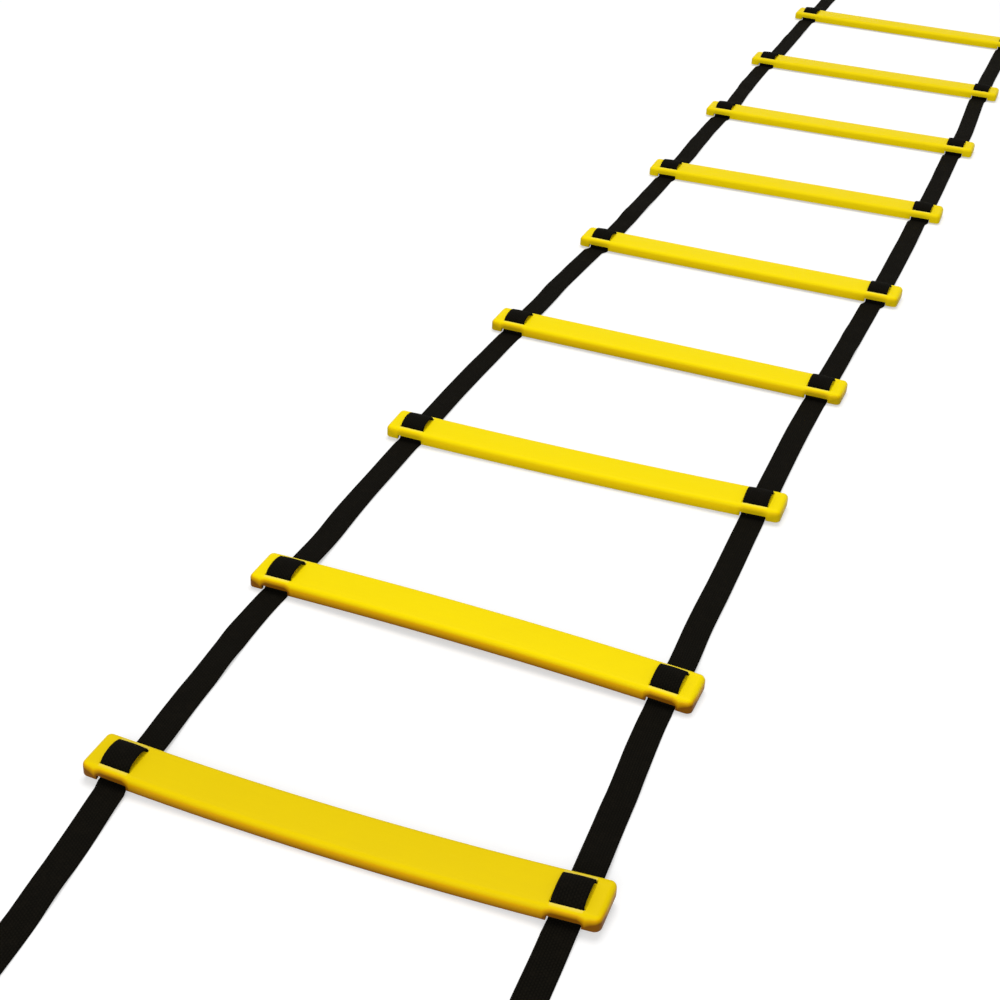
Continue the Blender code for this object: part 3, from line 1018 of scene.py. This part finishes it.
    def bridge(self, side: Side) -> bpy.types.Object:
        """Model the raised crown that holds the webbing up in a window.

        Args:
            side: the strap that it holds.

        Returns:
            The crown.
        """
        outline = self.crown_outline()
        reach = self.strap_width / 2 - self.crown_inset
        start = side.value * self.strap_offset - reach
        deselect_all()
        bpy.ops.mesh.primitive_circle_add(vertices=len(outline), radius=1, fill_type="NGON")
        crown = bpy.context.object
        for corner, (along, height) in zip(crown.data.vertices, outline):
            corner.co = (start, along, height)
        edit(crown, "FACE")
        bpy.ops.mesh.select_all(action="SELECT")
        bpy.ops.mesh.extrude_region_move(TRANSFORM_OT_translate={"value": (2 * reach, 0, 0)})
        bpy.ops.mesh.select_all(action="SELECT")
        bpy.ops.mesh.normals_make_consistent(inside=False)
        bpy.ops.mesh.select_mode(type="EDGE")
        pick_edges(crown, lambda a, b: abs(a.x - b.x) < SAME
                   and min(a.z, b.z) > self.top - self.wall / 4)
        bpy.ops.mesh.bevel(offset=self.crown_radius, segments=self.crown_segments,
                           affect="EDGES")
        take_out_of_edit(crown)
        return crown

    def open_windows(self, slat: bpy.types.Object) -> None:
        """Cut both windows and set a bridge with its crown into each.

        Args:
            slat: the hollow bar.
        """
        half = self.crown_outline()[-1][0]
        for side in Side:
            carve(slat, self.notch_tool(side), "DIFFERENCE")
            carve(slat, self.window_tool(side), "DIFFERENCE")
            middle = side.value * self.strap_offset
            reach = self.window_width / 2 + self.bridge_root
            deep = half + self.bar_margin
            bar = place_box("bar", (middle - reach, -deep, self.ceiling - self.bar_margin),
                            (middle + reach, deep, self.top - self.bar_sink))
            carve(slat, bar, "UNION")
            carve(slat, self.bridge(side), "UNION")

    def slice_up(self, slat: bpy.types.Object) -> None:
        """Add cuts across the slat, so that it can bow without facets.

        Args:
            slat: the slat with its windows.
        """
        edit(slat, "FACE")
        count = round(self.length / self.slice_length)
        for index in range(1, count):
            bpy.ops.mesh.select_all(action="SELECT")
            across = -self.length / 2 + index * self.length / count
            bpy.ops.mesh.bisect(plane_co=(across, 0, 0), plane_no=(1, 0, 0))
        take_out_of_edit(slat)

    def pattern(self) -> bpy.types.Object:
        """Model the slat that all nine are copied from.

        Returns:
            The straight slat.
        """
        slat = self.block()
        self.hollow(slat)
        self.open_windows(slat)
        self.slice_up(slat)
        finish_shell(slat, self.weld, self.smooth_degrees)
        places = slat.data.attributes.new("moulding_place", "FLOAT_VECTOR", "POINT")
        for place, corner in zip(places.data, slat.data.vertices):
            across, along, level = corner.co
            place.vector = (across / MM, along / MM, (level - self.floor) / self.height)
        return slat

    def shade(self, slat: bpy.types.Object, number: int, layout: Layout) -> None:
        """Store a slat's tone of yellow and how strong the painted shade on its lower edges is.

        Args:
            slat: the slat.
            number: its number.
            layout: the shares of all slats.
        """
        for name, shares in (("slat_tone", layout.slat_tone), ("painted_shade", layout.painted_shade)):
            layer = slat.data.attributes.new(name, "FLOAT", "POINT")
            layer.data.foreach_set("value", [shares[number - 1]] * len(slat.data.vertices))

    def lay(self, pattern: bpy.types.Object, number: int, layout: Layout) -> bpy.types.Object:
        """Copy the pattern to its place on the ladder, with its own bow, lean and twist.

        Args:
            pattern: the straight slat.
            number: which slat it becomes.
            layout: where the slats lie.

        Returns:
            The slat in its place.
        """
        slat = own_copy(pattern, f"slat_{number}")
        for corner in slat.data.vertices:
            corner.co = layout.point(number, *corner.co)
        self.shade(slat, number, layout)
        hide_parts(f"rung_{number}")
        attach(slat, f"rung_{number}")
        return slat


# Webbing

# How far a strap strays to the right at even steps from one slat to the next, and, for
# bay 0 and the last one, from the outer slat to the strap's loop
SWAYS_MM = {
    Side.LEFT: ((2.0, 3.5, 4.5, 3.5, 0.0), (3.0, 0.0, 0.5, 0.0, -0.5),
                (0.0, -2.0, -3.5, -2.0, -1.0), (0.5, 0.0, -0.5, -0.5, -1.0),
                (-0.5, -1.5, -4.5, -5.0, -4.5), (0.0, -0.5, -1.5, -2.0, -2.5),
                (1.5, 1.5, -1.0, -3.0, -3.0), (1.0, -1.5, -3.0, -4.0, -4.0),
                (0.5, 0.5, 0.0, -1.0, -3.0), (0.0, 0.0, 0.0, 0.0, 0.0)),
    Side.RIGHT: ((0.0, -1.0, -1.0, 0.0, 0.0), (1.0, 0.0, 1.5, 1.5, 0.5),
                 (0.0, -3.0, -2.0, -1.0, 0.0), (2.5, 2.0, 1.0, 0.0, -0.5),
                 (0.5, 0.0, -1.5, -3.0, -3.5), (-1.0, -1.5, -2.0, -2.5, -3.0),
                 (1.0, 1.0, 0.0, -1.5, -2.5), (1.0, 2.0, 1.0, -0.5, -2.0),
                 (-1.0, -2.0, -1.5, -2.0, -2.5), (0.0, 0.0, 0.0, 0.0, 0.0)),
}

# How far each free end turns aside beyond its slat
END_TURNS_DEGREES = {
    (Side.LEFT, Way.FRONT): 6.0, (Side.RIGHT, Way.FRONT): 3.0,
    (Side.LEFT, Way.BACK): 0.0, (Side.RIGHT, Way.BACK): 0.0,
}


def ease(share: float) -> float:
    """Return 0 at share 0 and 1 at share 1, level at both."""
    return share ** 2 * (3 - 2 * share)


@dataclass
class Station:
    """One cross section of the webbing."""

    middle: Vector
    across: Vector
    up: Vector
    run: float
    droop: float = 0.0


@dataclass
class Webbing:
    """One flat strap, made in pieces that meet where nothing bends.

    It is one unbroken webbing that crosses two joints in each bay, and a piece is
    built across each joint.
    """

    layout: Layout
    threading: Threading
    side: Side
    offset: float = 183 * MM
    width: float = 25 * MM
    edge_radius: float = 0.6 * MM
    tuck: float = 19.6 * MM
    settle: float = 75 * MM
    hump_droop: float = 1.1 * MM
    flat_step: float = 4 * MM
    fold_length: float = 7 * MM
    thickness: float = 1.6 * MM
    flat_places: tuple = (-1.0, -0.66, -0.33, 0.0, 0.33, 0.66, 1.0)
    edge_steps: int = 4
    weld: float = 0.001 * MM
    smooth_degrees: float = 50.0
    first_run: float = 1.0
    seed: int = 7
    wave_count: int = 3
    wave_hold: float = 0.8
    wave_share: float = 0.5
    lift: float = 0.9 * MM
    lift_fade: float = 0.5
    roll_degrees: float = 2.2
    roll_fade: float = 0.3
    sways_mm: dict = field(default_factory=lambda: SWAYS_MM)

    def section(self) -> list[tuple[float, float]]:
        """Draw the webbing's outline across, with rounded edges.

        Returns:
            Place across and height of each corner.
        """
        half, rise, radius = self.width / 2, self.thickness / 2, self.edge_radius
        outline = []
        for sign in (1, -1):
            outline += [(sign * share * (half - radius), sign * rise)
                        for share in self.flat_places]
            for step in range(1, self.edge_steps):
                angle = math.radians(sign * 90 - 180 * step / self.edge_steps)
                outline.append((sign * (half - radius) + radius * math.cos(angle),
                                rise * math.sin(angle)))
        return outline

    def ribbon(self, name: str, stations: Sequence[Station]) -> bpy.types.Object:
        """Skin cross sections into a closed strap with its own UV map in metres.

        Args:
            name: the new piece's name.
            stations: the cross sections in order.

        Returns:
            The new piece.
        """
        outline = self.section()
        ring = len(outline)
        deselect_all()
        bpy.ops.mesh.primitive_grid_add(x_subdivisions=ring, y_subdivisions=len(stations) - 1,
                                        size=1)
        strap = bpy.context.object
        strap.name = name
        strap.data.name = name
        points, flat = [], []
        for station in stations:
            for across, height in [*outline, outline[0]]:
                sunk = height - station.droop * (2 * across / self.width) ** 2
                points.append(station.middle + station.across * across + station.up * sunk)
                flat.append((across + self.width / 2, station.run))
        strap.data.vertices.foreach_set("co", [value for point in points for value in point])
        layer = strap.data.uv_layers.active or strap.data.uv_layers.new()
        layer.name = "webbing"
        for loop in strap.data.loops:
            layer.uv[loop.index].vector = flat[loop.vertex_index]
        finish_shell(strap, self.weld, self.smooth_degrees)
        return strap

    def slat_point(self, number: int, along: float, height: float = 0.0) -> Vector:
        """Return a point on the strap's middle line in a slat, lifted with the slat."""
        return self.layout.point(number, self.side.value * self.offset, along, height)

    def slat_axes(self, number: int, along: float) -> tuple[Vector, Vector, Vector]:
        """Return a slat's directions across, along and up, where the strap runs."""
        return self.layout.axes(number, self.side.value * self.offset, along)

    def settled(self, number: int, way: Way, distance: float) -> float:
        """Return how high the strap still is on its way down from a lifted slat.

        Args:
            number: the slat.
            way: which side of the slat the strap leaves.
            distance: how far it is from where it leaves.

        Returns:
            The height above where it would lie.
        """
        share = min(1.0, distance / self.settle)
        height = self.slat_point(number, way.value * self.tuck).z
        slope = way.value * self.slat_axes(number, way.value * self.tuck)[1].z
        return max(0.0, height * (1 - ease(share)) + slope * distance * (1 - share) ** 2)

    def threaded(self, number: int, run: float) -> list[Station]:
        """Lead the strap through one slat, from tuck to tuck.

        Args:
            number: the slat.
            run: the webbing's length up to the first station.

        Returns:
            The cross sections.
        """
        stations = []
        path = self.threading.path()
        low = self.thickness / 2
        path = [(-self.tuck, low, 0.0), *path, (self.tuck, low, 0.0)]
        last = path[0]
        for place, height, heading in path:
            run += math.hypot(place - last[0], height - last[1])
            last = (place, height)
            middle = self.slat_point(number, place, height)
            across, along, above = self.slat_axes(number, place)
            up = above * math.cos(heading) - along * math.sin(heading)
            share = max(0.0, (height - self.threading.slat_top) / self.threading.hump_rise)
            stations.append(Station(middle, across, up, run, self.hump_droop * share))
        return stations

    def sway(self, bay: int, share: float) -> float:
        """Draw a smooth curve through a bay's values of how far the strap strays.

        Args:
            bay: the bay's number, 0 for the end before the first slat.
            share: 0 at the nearer slat's fold and 1 at the farther one's.

        Returns:
            How far the strap strays sideways there.
        """
        values = self.sways_mm[self.side][bay]
        spot = min(max(share, 0.0), 1.0) * (len(values) - 1)
        first = min(int(spot), len(values) - 2)
        around = [values[max(first - 1, 0)], values[first], values[first + 1],
                  values[min(first + 2, len(values) - 1)]]
        t = spot - first
        curve = (2 * around[1] + (around[2] - around[0]) * t
                 + (2 * around[0] - 5 * around[1] + 4 * around[2] - around[3]) * t ** 2
                 + (3 * around[1] - around[0] - 3 * around[2] + around[3]) * t ** 3)
        return curve / 2 * MM

    def wave(self, bay: int) -> Callable[[float], tuple[float, float]]:
        """Draw the gentle waves that the webbing of a bay lies in.

        Args:
            bay: the bay's number.

        Returns:
            A function from a share of the bay to its lift and roll.
        """
        draw = random.Random(self.seed * 100 + bay * 10 + self.side.value)
        terms = [(draw.uniform(-1, 1), draw.uniform(0, 2 * math.pi), draw.uniform(-1, 1),
                  draw.uniform(0, 2 * math.pi)) for _ in range(self.wave_count)]

        def shape(share: float) -> tuple[float, float]:
            """Add up the waves.

            Args:
                share: the place in the bay, from 0 to 1.

            Returns:
                Lift and roll there.
            """
            hold = math.sin(math.pi * share) ** self.wave_hold
            swell = roll = 0.0
            for count, (size, start, turn, turn_start) in enumerate(terms, start=1):
                phase = 2 * math.pi * count * share
                swell += size * math.sin(phase + start) / count ** self.lift_fade
                roll += turn * math.sin(phase + turn_start) / count ** self.roll_fade
            angle = math.radians(self.roll_degrees) * roll * hold
            height = self.lift * hold * (1 + swell * self.wave_share)
            return height + abs(math.sin(angle)) * self.width / 2, angle

        return shape

    def bay(self, bay: int, run: float) -> list[Station]:
        """Lead the strap from under one slat's lip to under the next one's.

        Args:
            bay: the bay's number.
            run: the webbing's length up to the first station.

        Returns:
            The cross sections.
        """
        flat = Vector((1, 1, 0))
        start = self.slat_point(bay, self.tuck) * flat
        end = self.slat_point(bay + 1, -self.tuck) * flat
        first = (self.slat_axes(bay, self.tuck)[1] * flat).normalized()
        last = (self.slat_axes(bay + 1, -self.tuck)[1] * flat).normalized()
        span = (end - start).length
        lip = (self.layout.fold_reach - self.tuck) / span
        shape = self.wave(bay)
        count = 2 * round(span / self.flat_step / 2)
        stations = []
        up = Vector((0, 0, 1))
        for index in range(count + 1):
            t = index / count
            middle = (start * (2 * t ** 3 - 3 * t ** 2 + 1) + end * (3 * t ** 2 - 2 * t ** 3)
                      + first * span * (t ** 3 - 2 * t ** 2 + t)
                      + last * span * (t ** 3 - t ** 2))
            slope = (start * (6 * t ** 2 - 6 * t) + end * (6 * t - 6 * t ** 2)
                     + first * span * (3 * t ** 2 - 4 * t + 1) + last * span * (3 * t ** 2 - 2 * t))
            along = slope.normalized()
            across = along.cross(up)
            share = min(1.0, max(0.0, (t - lip) / (1 - 2 * lip)))
            lift, roll = shape(share)
            sway = self.sway(bay, share) * ease(min(1.0, t / lip, (1 - t) / lip))
            lift += self.settled(bay, Way.BACK, t * span)
            lift += self.settled(bay + 1, Way.FRONT, (1 - t) * span)
            middle = middle + across * sway + up * (self.thickness / 2 + lift)
            tilted = across * math.cos(roll) + up * math.sin(roll)
            stations.append(Station(middle, tilted, tilted.cross(along), run + t * span))
        return stations

    def build(self) -> list[bpy.types.Object]:
        """Build the strap's pieces between and inside the slats.

        Returns:
            The pieces, from the first slat to the last.
        """
        pieces = []
        run = self.first_run
        word = self.side.word
        reach = self.fold_length
        for number in range(1, self.layout.slats):
            inside = self.threaded(number, run)
            between = self.bay(number, inside[-1].run)
            run = between[-1].run
            quarter = len(between) // 4
            threequarter = len(between) - 1 - quarter
            start = self.layout.fold(number, Way.BACK)
            crease = self.layout.crease(number)
            end = self.layout.fold(number + 1, Way.FRONT)
            front, back = f"bay_{number}_front", f"bay_{number}_back"
            pieces += [
                self.cross(f"{word}_webbing_slat_{number}", inside[:-1] + between[:quarter + 1],
                           f"{word}_strap_rung_{number}", (f"rung_{number}", front),
                           (start, start + reach)),
                self.cross(f"{word}_webbing_bay_{number}_crease",
                           between[quarter:threequarter + 1], f"{word}_strap_{front}",
                           (front, back), (crease - reach, crease + reach)),
                self.cross(f"{word}_webbing_{back}", between[threequarter:],
                           f"{word}_strap_{back}", (back, f"rung_{number + 1}"),
                           (end - reach, end))]
        last = self.layout.slats
        pieces.append(self.hang(f"{word}_webbing_slat_{last}", self.threaded(last, run),
                                f"{word}_strap_rung_{last}", f"rung_{last}"))
        return pieces

    def cross(self, name: str, stations: Sequence[Station], node: str,
              bodies: tuple[str, str], bend: tuple[float, float]) -> bpy.types.Object:
        """Build a strap piece that crosses a joint.

        Args:
            name: the piece's name.
            stations: its cross sections.
            node: the CAD node that it stands for.
            bodies: the bodies that it joins, the nearer one first; not used.
            bend: how far along the ladder its bend starts and ends; not used.

        Returns:
            The new piece.
        """
        piece = self.ribbon(name, stations)
        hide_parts(node)
        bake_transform(piece)
        return piece

    def hang(self, name: str, stations: Sequence[Station], node: str,
             body: str) -> bpy.types.Object:
        """Build a strap piece that moves with one body.

        Args:
            name: the piece's name.
            stations: its cross sections.
            node: the CAD node that it stands for.
            body: the body that it rides on.

        Returns:
            The new piece.
        """
        piece = self.ribbon(name, stations)
        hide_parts(node)
        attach(piece, body)
        return piece


@dataclass
class StrapEnd:
    """The free end of a strap beyond the first or last slat, sewn back into a loop."""

    webbing: Webbing
    way: Way
    turn_degrees: float = 0.0
    length: float = 300 * MM
    eye_height: float = 8 * MM
    slope_degrees: float = 12.0
    seam: float = 28 * MM
    loop_bend_radius: float = 6 * MM
    gap: float = 0.3 * MM
    stitch_length: float = 2.4 * MM
    stitch_gap: float = 0.9 * MM
    thread: float = 0.55 * MM
    seam_margin: float = 3.0 * MM
    turn_steps: int = 20
    slope_steps: int = 6
    bend_steps: int = 4
    seam_steps: int = 8
    first_run: float = 0.2
    roll_waves: float = 2.5
    lift_waves: float = 3.0
    stitch_segments: int = 8
    stitch_rings: int = 6

    @property
    def number(self) -> int:
        """Return the slat that the end belongs to."""
        return 1 if self.way is Way.FRONT else self.webbing.layout.slats

    def stray(self, place: float) -> float:
        """Look up how far the end strays sideways.

        Args:
            place: the distance from its fold line.

        Returns:
            How far it strays there.
        """
        web = self.webbing
        bay = 0 if self.way is Way.FRONT else web.layout.slats
        return web.sway(bay, place / (self.length - web.layout.fold_reach))

    def path(self) -> list[tuple[float, float, float]]:
        """Work out the end's path, out along the ground and back over the loop.

        Returns:
            Distance, height and heading from the fold line to the webbing's cut end.
        """
        web = self.webbing
        radius = (self.eye_height + web.thickness) / 2
        slope = math.radians(self.slope_degrees)
        low = web.thickness / 2
        seam_height = low + web.thickness + self.gap
        turn_height = low + radius * (1 + math.cos(slope))
        drop = turn_height - seam_height - self.loop_bend_radius * (1 - math.cos(slope))
        straight = self.length - web.layout.fold_reach - radius
        return walk((0, low), 0.0, [
            (straight, 0.0, round(straight / web.flat_step)),
            (radius, 180 + self.slope_degrees, self.turn_steps),
            (drop / math.sin(slope), 0.0, self.slope_steps),
            (self.loop_bend_radius, -self.slope_degrees, self.bend_steps),
            (self.seam, 0.0, self.seam_steps)])

    def frame(self) -> tuple[Vector, Vector, Vector]:
        """Find the end's own frame.

        Returns:
            Where it starts at the fold line, and its directions outwards and across.
        """
        web = self.webbing
        turn = math.radians(web.layout.turn_degrees[self.number - 1])
        reach = (self.way.value * web.layout.fold_reach
                 - web.side.value * web.offset * math.sin(turn)) / math.cos(turn)
        start = web.layout.place(self.number) @ Vector((web.side.value * web.offset, reach, 0))
        swing = math.radians(self.turn_degrees)
        sign = self.way.value
        outwards = Vector((-sign * math.sin(swing), sign * math.cos(swing), 0))
        return start, outwards, Vector((math.cos(swing), math.sin(swing), 0))

    def stations(self) -> list[Station]:
        """Lead the strap from under the slat's lip round the loop to its cut end.

        Returns:
            The cross sections.
        """
        web = self.webbing
        start, outwards, across = self.frame()
        made = []
        run = self.first_run
        last = (0.0, web.thickness / 2)
        draw = random.Random(web.seed * 31 + self.number * 5 + web.side.value)
        phases = [draw.uniform(0, 2 * math.pi) for _ in range(2)]
        straight = self.length - web.layout.fold_reach
        hidden = web.layout.fold_reach - web.tuck
        up = Vector((0, 0, 1))
        for place, height, heading in self.path():
            run += math.hypot(place - last[0], height - last[1])
            last = (place, height)
            share = min(1.0, place / straight)
            hold = math.sin(math.pi * share) if heading == 0 else 0.0
            roll = math.radians(web.roll_degrees) * hold * math.sin(
                2 * math.pi * self.roll_waves * share + phases[0])
            lift = hold * web.lift * (
                1 + math.sin(2 * math.pi * self.lift_waves * share + phases[1])) / 2
            lift += abs(math.sin(roll)) * web.width / 2
            if height < web.thickness:
                lift += web.settled(self.number, self.way, place + hidden)
            normal = up * math.cos(heading) - outwards * math.sin(heading)
            middle = (start + outwards * place + across * self.stray(place)
                      + up * (height + lift))
            tilted = across * math.cos(roll) + up * math.sin(roll)
            made.append(Station(middle, tilted, normal, run))
        tucked = web.slat_point(self.number, self.way.value * web.tuck, web.thickness / 2)
        side_axis, _, above = web.slat_axes(self.number, self.way.value * web.tuck)
        first = Station(tucked, side_axis, above, self.first_run - (tucked - start).length)
        return [first, *made]

    def stitch_lines(self) -> list[tuple[Vector, Vector]]:
        """Draw the box stitch with its cross on the seam.

        Returns:
            The two ends of each line.
        """
        start, outwards, across = self.frame()
        web = self.webbing
        end_place = self.path()[-1][0]
        half = web.width / 2 - self.seam_margin
        near = end_place + self.seam_margin
        far = end_place + self.seam - self.seam_margin
        top = Vector((0, 0, web.thickness * 2 + self.gap))
        places = ((near, -half), (near, half), (far, half), (far, -half))
        corners = [start + outwards * place + across * (aside + self.stray(place)) + top
                   for place, aside in places]
        lines = list(zip(corners, corners[1:] + corners[:1]))
        return lines + [(corners[0], corners[2]), (corners[1], corners[3])]

    def stitches(self) -> bpy.types.Object:
        """Sew the seam, with all its stitches in one piece.

        Returns:
            The stitches.
        """
        made = []
        pitch = self.stitch_length + self.stitch_gap
        size = Matrix.Diagonal((self.stitch_length / 2, self.thread / 2, self.thread / 2, 1))
        for start, end in self.stitch_lines():
            run = end - start
            turn = Matrix.Rotation(math.atan2(run.y, run.x), 4, "Z")
            count = max(1, round(run.length / pitch))
            for index in range(count):
                middle = start + run * (index + 0.5) / count
                deselect_all()
                bpy.ops.mesh.primitive_uv_sphere_add(segments=self.stitch_segments,
                                                     ring_count=self.stitch_rings, radius=1)
                stitch = bpy.context.object
                stitch.data.transform(Matrix.Translation(middle) @ turn @ size)
                made.append(stitch)
        deselect_all()
        for stitch in made:
            stitch.select_set(True)
        bpy.context.view_layer.objects.active = made[0]
        bpy.ops.object.join()
        piece = bpy.context.object
        piece.name = f"{self.webbing.side.word}_{self.way.word}_loop_stitches"
        piece.data.name = piece.name
        bpy.ops.object.shade_smooth()
        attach(piece, f"rung_{self.number}")
        return piece

    def build(self) -> list[bpy.types.Object]:
        """Build the free end with its loop and its stitches.

        Returns:
            The strap and its stitches.
        """
        word = self.webbing.side.word
        strap = self.webbing.hang(f"{word}_webbing_{self.way.word}_end", self.stations(),
                                  f"{word}_strap_rung_{self.number}", f"rung_{self.number}")
        return [strap, self.stitches()]


# Studio

def seen_directly(tree: bpy.types.NodeTree) -> bpy.types.NodeSocket:
    """Add the nodes that tell what is seen, also in reflections, from what only gives light.

    Args:
        tree: the material's or the world's tree.

    Returns:
        1 for what is seen and 0 for what only gives light.
    """
    light = add_node(tree, "ShaderNodeLightPath")
    seen = add_node(tree, "ShaderNodeMath", {"operation": "MAXIMUM"}, {
        0: light.outputs["Is Camera Ray"], 1: light.outputs["Is Glossy Ray"]})
    return add_node(tree, "ShaderNodeMath", {"operation": "MAXIMUM"}, {
        0: seen.outputs[0], 1: light.outputs["Is Transmission Ray"]}).outputs[0]


@dataclass(frozen=True)
class SoftLamp:
    """A square soft light that points at the ladder's middle."""

    name: str
    place: tuple
    size: float
    watts: float

    def hang(self) -> None:
        """Hang the lamp in the scene."""
        data = bpy.data.lights.new(self.name, "AREA")
        data.shape = "SQUARE"
        data.size = self.size
        data.energy = self.watts
        made = bpy.data.objects.new(self.name, data)
        bpy.context.scene.collection.objects.link(made)
        made.location = self.place
        made.rotation_euler = (-Vector(self.place)).to_track_quat("-Z", "Y").to_euler()


@dataclass
class Studio:
    """White floor, soft light from above and from the front, and the photograph's camera.

    The floor's own glow, which only the eye and reflections see, makes it white. It
    grows with the distance from the ladder's middle, where the lamps reach less.
    """

    camera_place: tuple = (0.4394, -2.06995, 0.88327)
    azimuth: float = -20.12643
    elevation: float = 31.14019
    roll: float = 3.00219
    focal_share: float = 1.71953
    sensor: float = 36.0
    clip: tuple = (0.05, 100.0)
    floor_size: float = 30.0
    floor_grey: tuple = (0.6, 0.6, 0.6, 1)
    glow_distance: tuple = (1.6, 5.0)
    glow_strength: tuple = (0.47, 0.82)
    world_light: float = 0.35
    lamps: tuple = (SoftLamp("key_light", (-0.4, 0.8, 5.4), 3.0, 165.0),
                    SoftLamp("fill_light", (0.5, -5.2, 2.2), 3.0, 118.0))

    def camera(self) -> None:
        """Set the camera at the photograph's viewing angle."""
        data = bpy.data.cameras.new("camera")
        data.sensor_width = self.sensor
        data.lens = self.sensor * self.focal_share
        data.clip_start, data.clip_end = self.clip
        made = bpy.data.objects.new("camera", data)
        bpy.context.scene.collection.objects.link(made)
        azimuth, elevation = math.radians(self.azimuth), math.radians(self.elevation)
        roll = math.radians(self.roll)
        ahead = Vector((math.sin(azimuth) * math.cos(elevation),
                        math.cos(azimuth) * math.cos(elevation), -math.sin(elevation)))
        right = Vector((math.cos(azimuth), -math.sin(azimuth), 0))
        above = right.cross(ahead)
        turned_right = right * math.cos(roll) + above * math.sin(roll)
        turned_above = above * math.cos(roll) - right * math.sin(roll)
        rotation = Matrix((turned_right, turned_above, -ahead)).transposed().to_4x4()
        made.matrix_world = Matrix.Translation(self.camera_place) @ rotation
        bpy.context.scene.camera = made

    def floor(self) -> None:
        """Lay the floor, which looks white and keeps the object's shadow."""
        deselect_all()
        bpy.ops.mesh.primitive_plane_add(size=self.floor_size)
        plane = bpy.context.object
        plane.name = "studio_floor"
        made, tree = new_material("white_studio_floor")
        place = add_node(tree, "ShaderNodeTexCoord")
        distance = add_node(tree, "ShaderNodeVectorMath", {"operation": "LENGTH"}, {
            0: place.outputs["Object"]})
        level = add_node(tree, "ShaderNodeMapRange", inputs={
            "Value": distance.outputs["Value"], "From Min": self.glow_distance[0],
            "From Max": self.glow_distance[1], "To Min": self.glow_strength[0],
            "To Max": self.glow_strength[1]})
        strength = add_node(tree, "ShaderNodeMath", {"operation": "MULTIPLY"}, {
            0: seen_directly(tree), 1: level.outputs[0]})
        paper = add_node(tree, "ShaderNodeBsdfDiffuse", inputs={"Color": self.floor_grey})
        glow = add_node(tree, "ShaderNodeEmission", inputs={"Strength": strength.outputs[0]})
        both = add_node(tree, "ShaderNodeAddShader", inputs={
            0: paper.outputs[0], 1: glow.outputs[0]})
        add_node(tree, "ShaderNodeOutputMaterial", inputs={"Surface": both.outputs[0]})
        dress(plane, made)

    def world(self) -> None:
        """Surround the scene with soft light that looks white."""
        world = bpy.data.worlds.new("studio")
        bpy.context.scene.world = world
        world.use_nodes = True
        tree = world.node_tree
        tree.nodes.clear()
        strength = add_node(tree, "ShaderNodeMapRange", inputs={
            "Value": seen_directly(tree), "To Min": self.world_light, "To Max": 1.0})
        glow = add_node(tree, "ShaderNodeBackground", inputs={
            "Color": (1, 1, 1, 1), "Strength": strength.outputs[0]})
        add_node(tree, "ShaderNodeOutputWorld", inputs={"Surface": glow.outputs[0]})

    def build(self) -> None:
        """Build the whole studio."""
        self.camera()
        self.floor()
        self.world()
        for lamp in self.lamps:
            lamp.hang()
        bpy.context.scene.view_settings.view_transform = "Standard"


def log_piece(piece: bpy.types.Object) -> None:
    """Report a finished piece."""
    LOG.info("%s: %d faces", piece.name, len(piece.data.polygons))


def build_slats(layout: Layout, threading: Threading) -> None:
    """Model one slat and lay its copies.

    Args:
        layout: where the slats lie.
        threading: how the webbing runs through them.
    """
    shape = Slat(threading)
    pattern = shape.pattern()
    dress(pattern, MouldedPolypropylene().material())
    for number in range(1, layout.slats + 1):
        log_piece(shape.lay(pattern, number, layout))
    bpy.data.objects.remove(pattern, do_unlink=True)


def build_straps(layout: Layout, threading: Threading) -> None:
    """Thread both straps through the slats and sew their free ends.

    Args:
        layout: where the slats lie.
        threading: how the webbing runs through them.
    """
    black = WovenWebbing().material()
    thread = BondedThread().material()
    for side in Side:
        webbing = Webbing(layout, threading, side)
        straps = webbing.build()
        for way in Way:
            strap, stitches = StrapEnd(webbing, way, END_TURNS_DEGREES[(side, way)]).build()
            straps.append(strap)
            dress(stitches, thread)
            log_piece(stitches)
        for strap in straps:
            dress(strap, black)
            log_piece(strap)


def main() -> None:
    """Build the ladder and its studio."""
    logging.basicConfig(level=logging.INFO, format="%(message)s")
    layout, threading = Layout(), Threading()
    Studio().build()
    build_slats(layout, threading)
    build_straps(layout, threading)


if __name__ == "__main__":
    main()
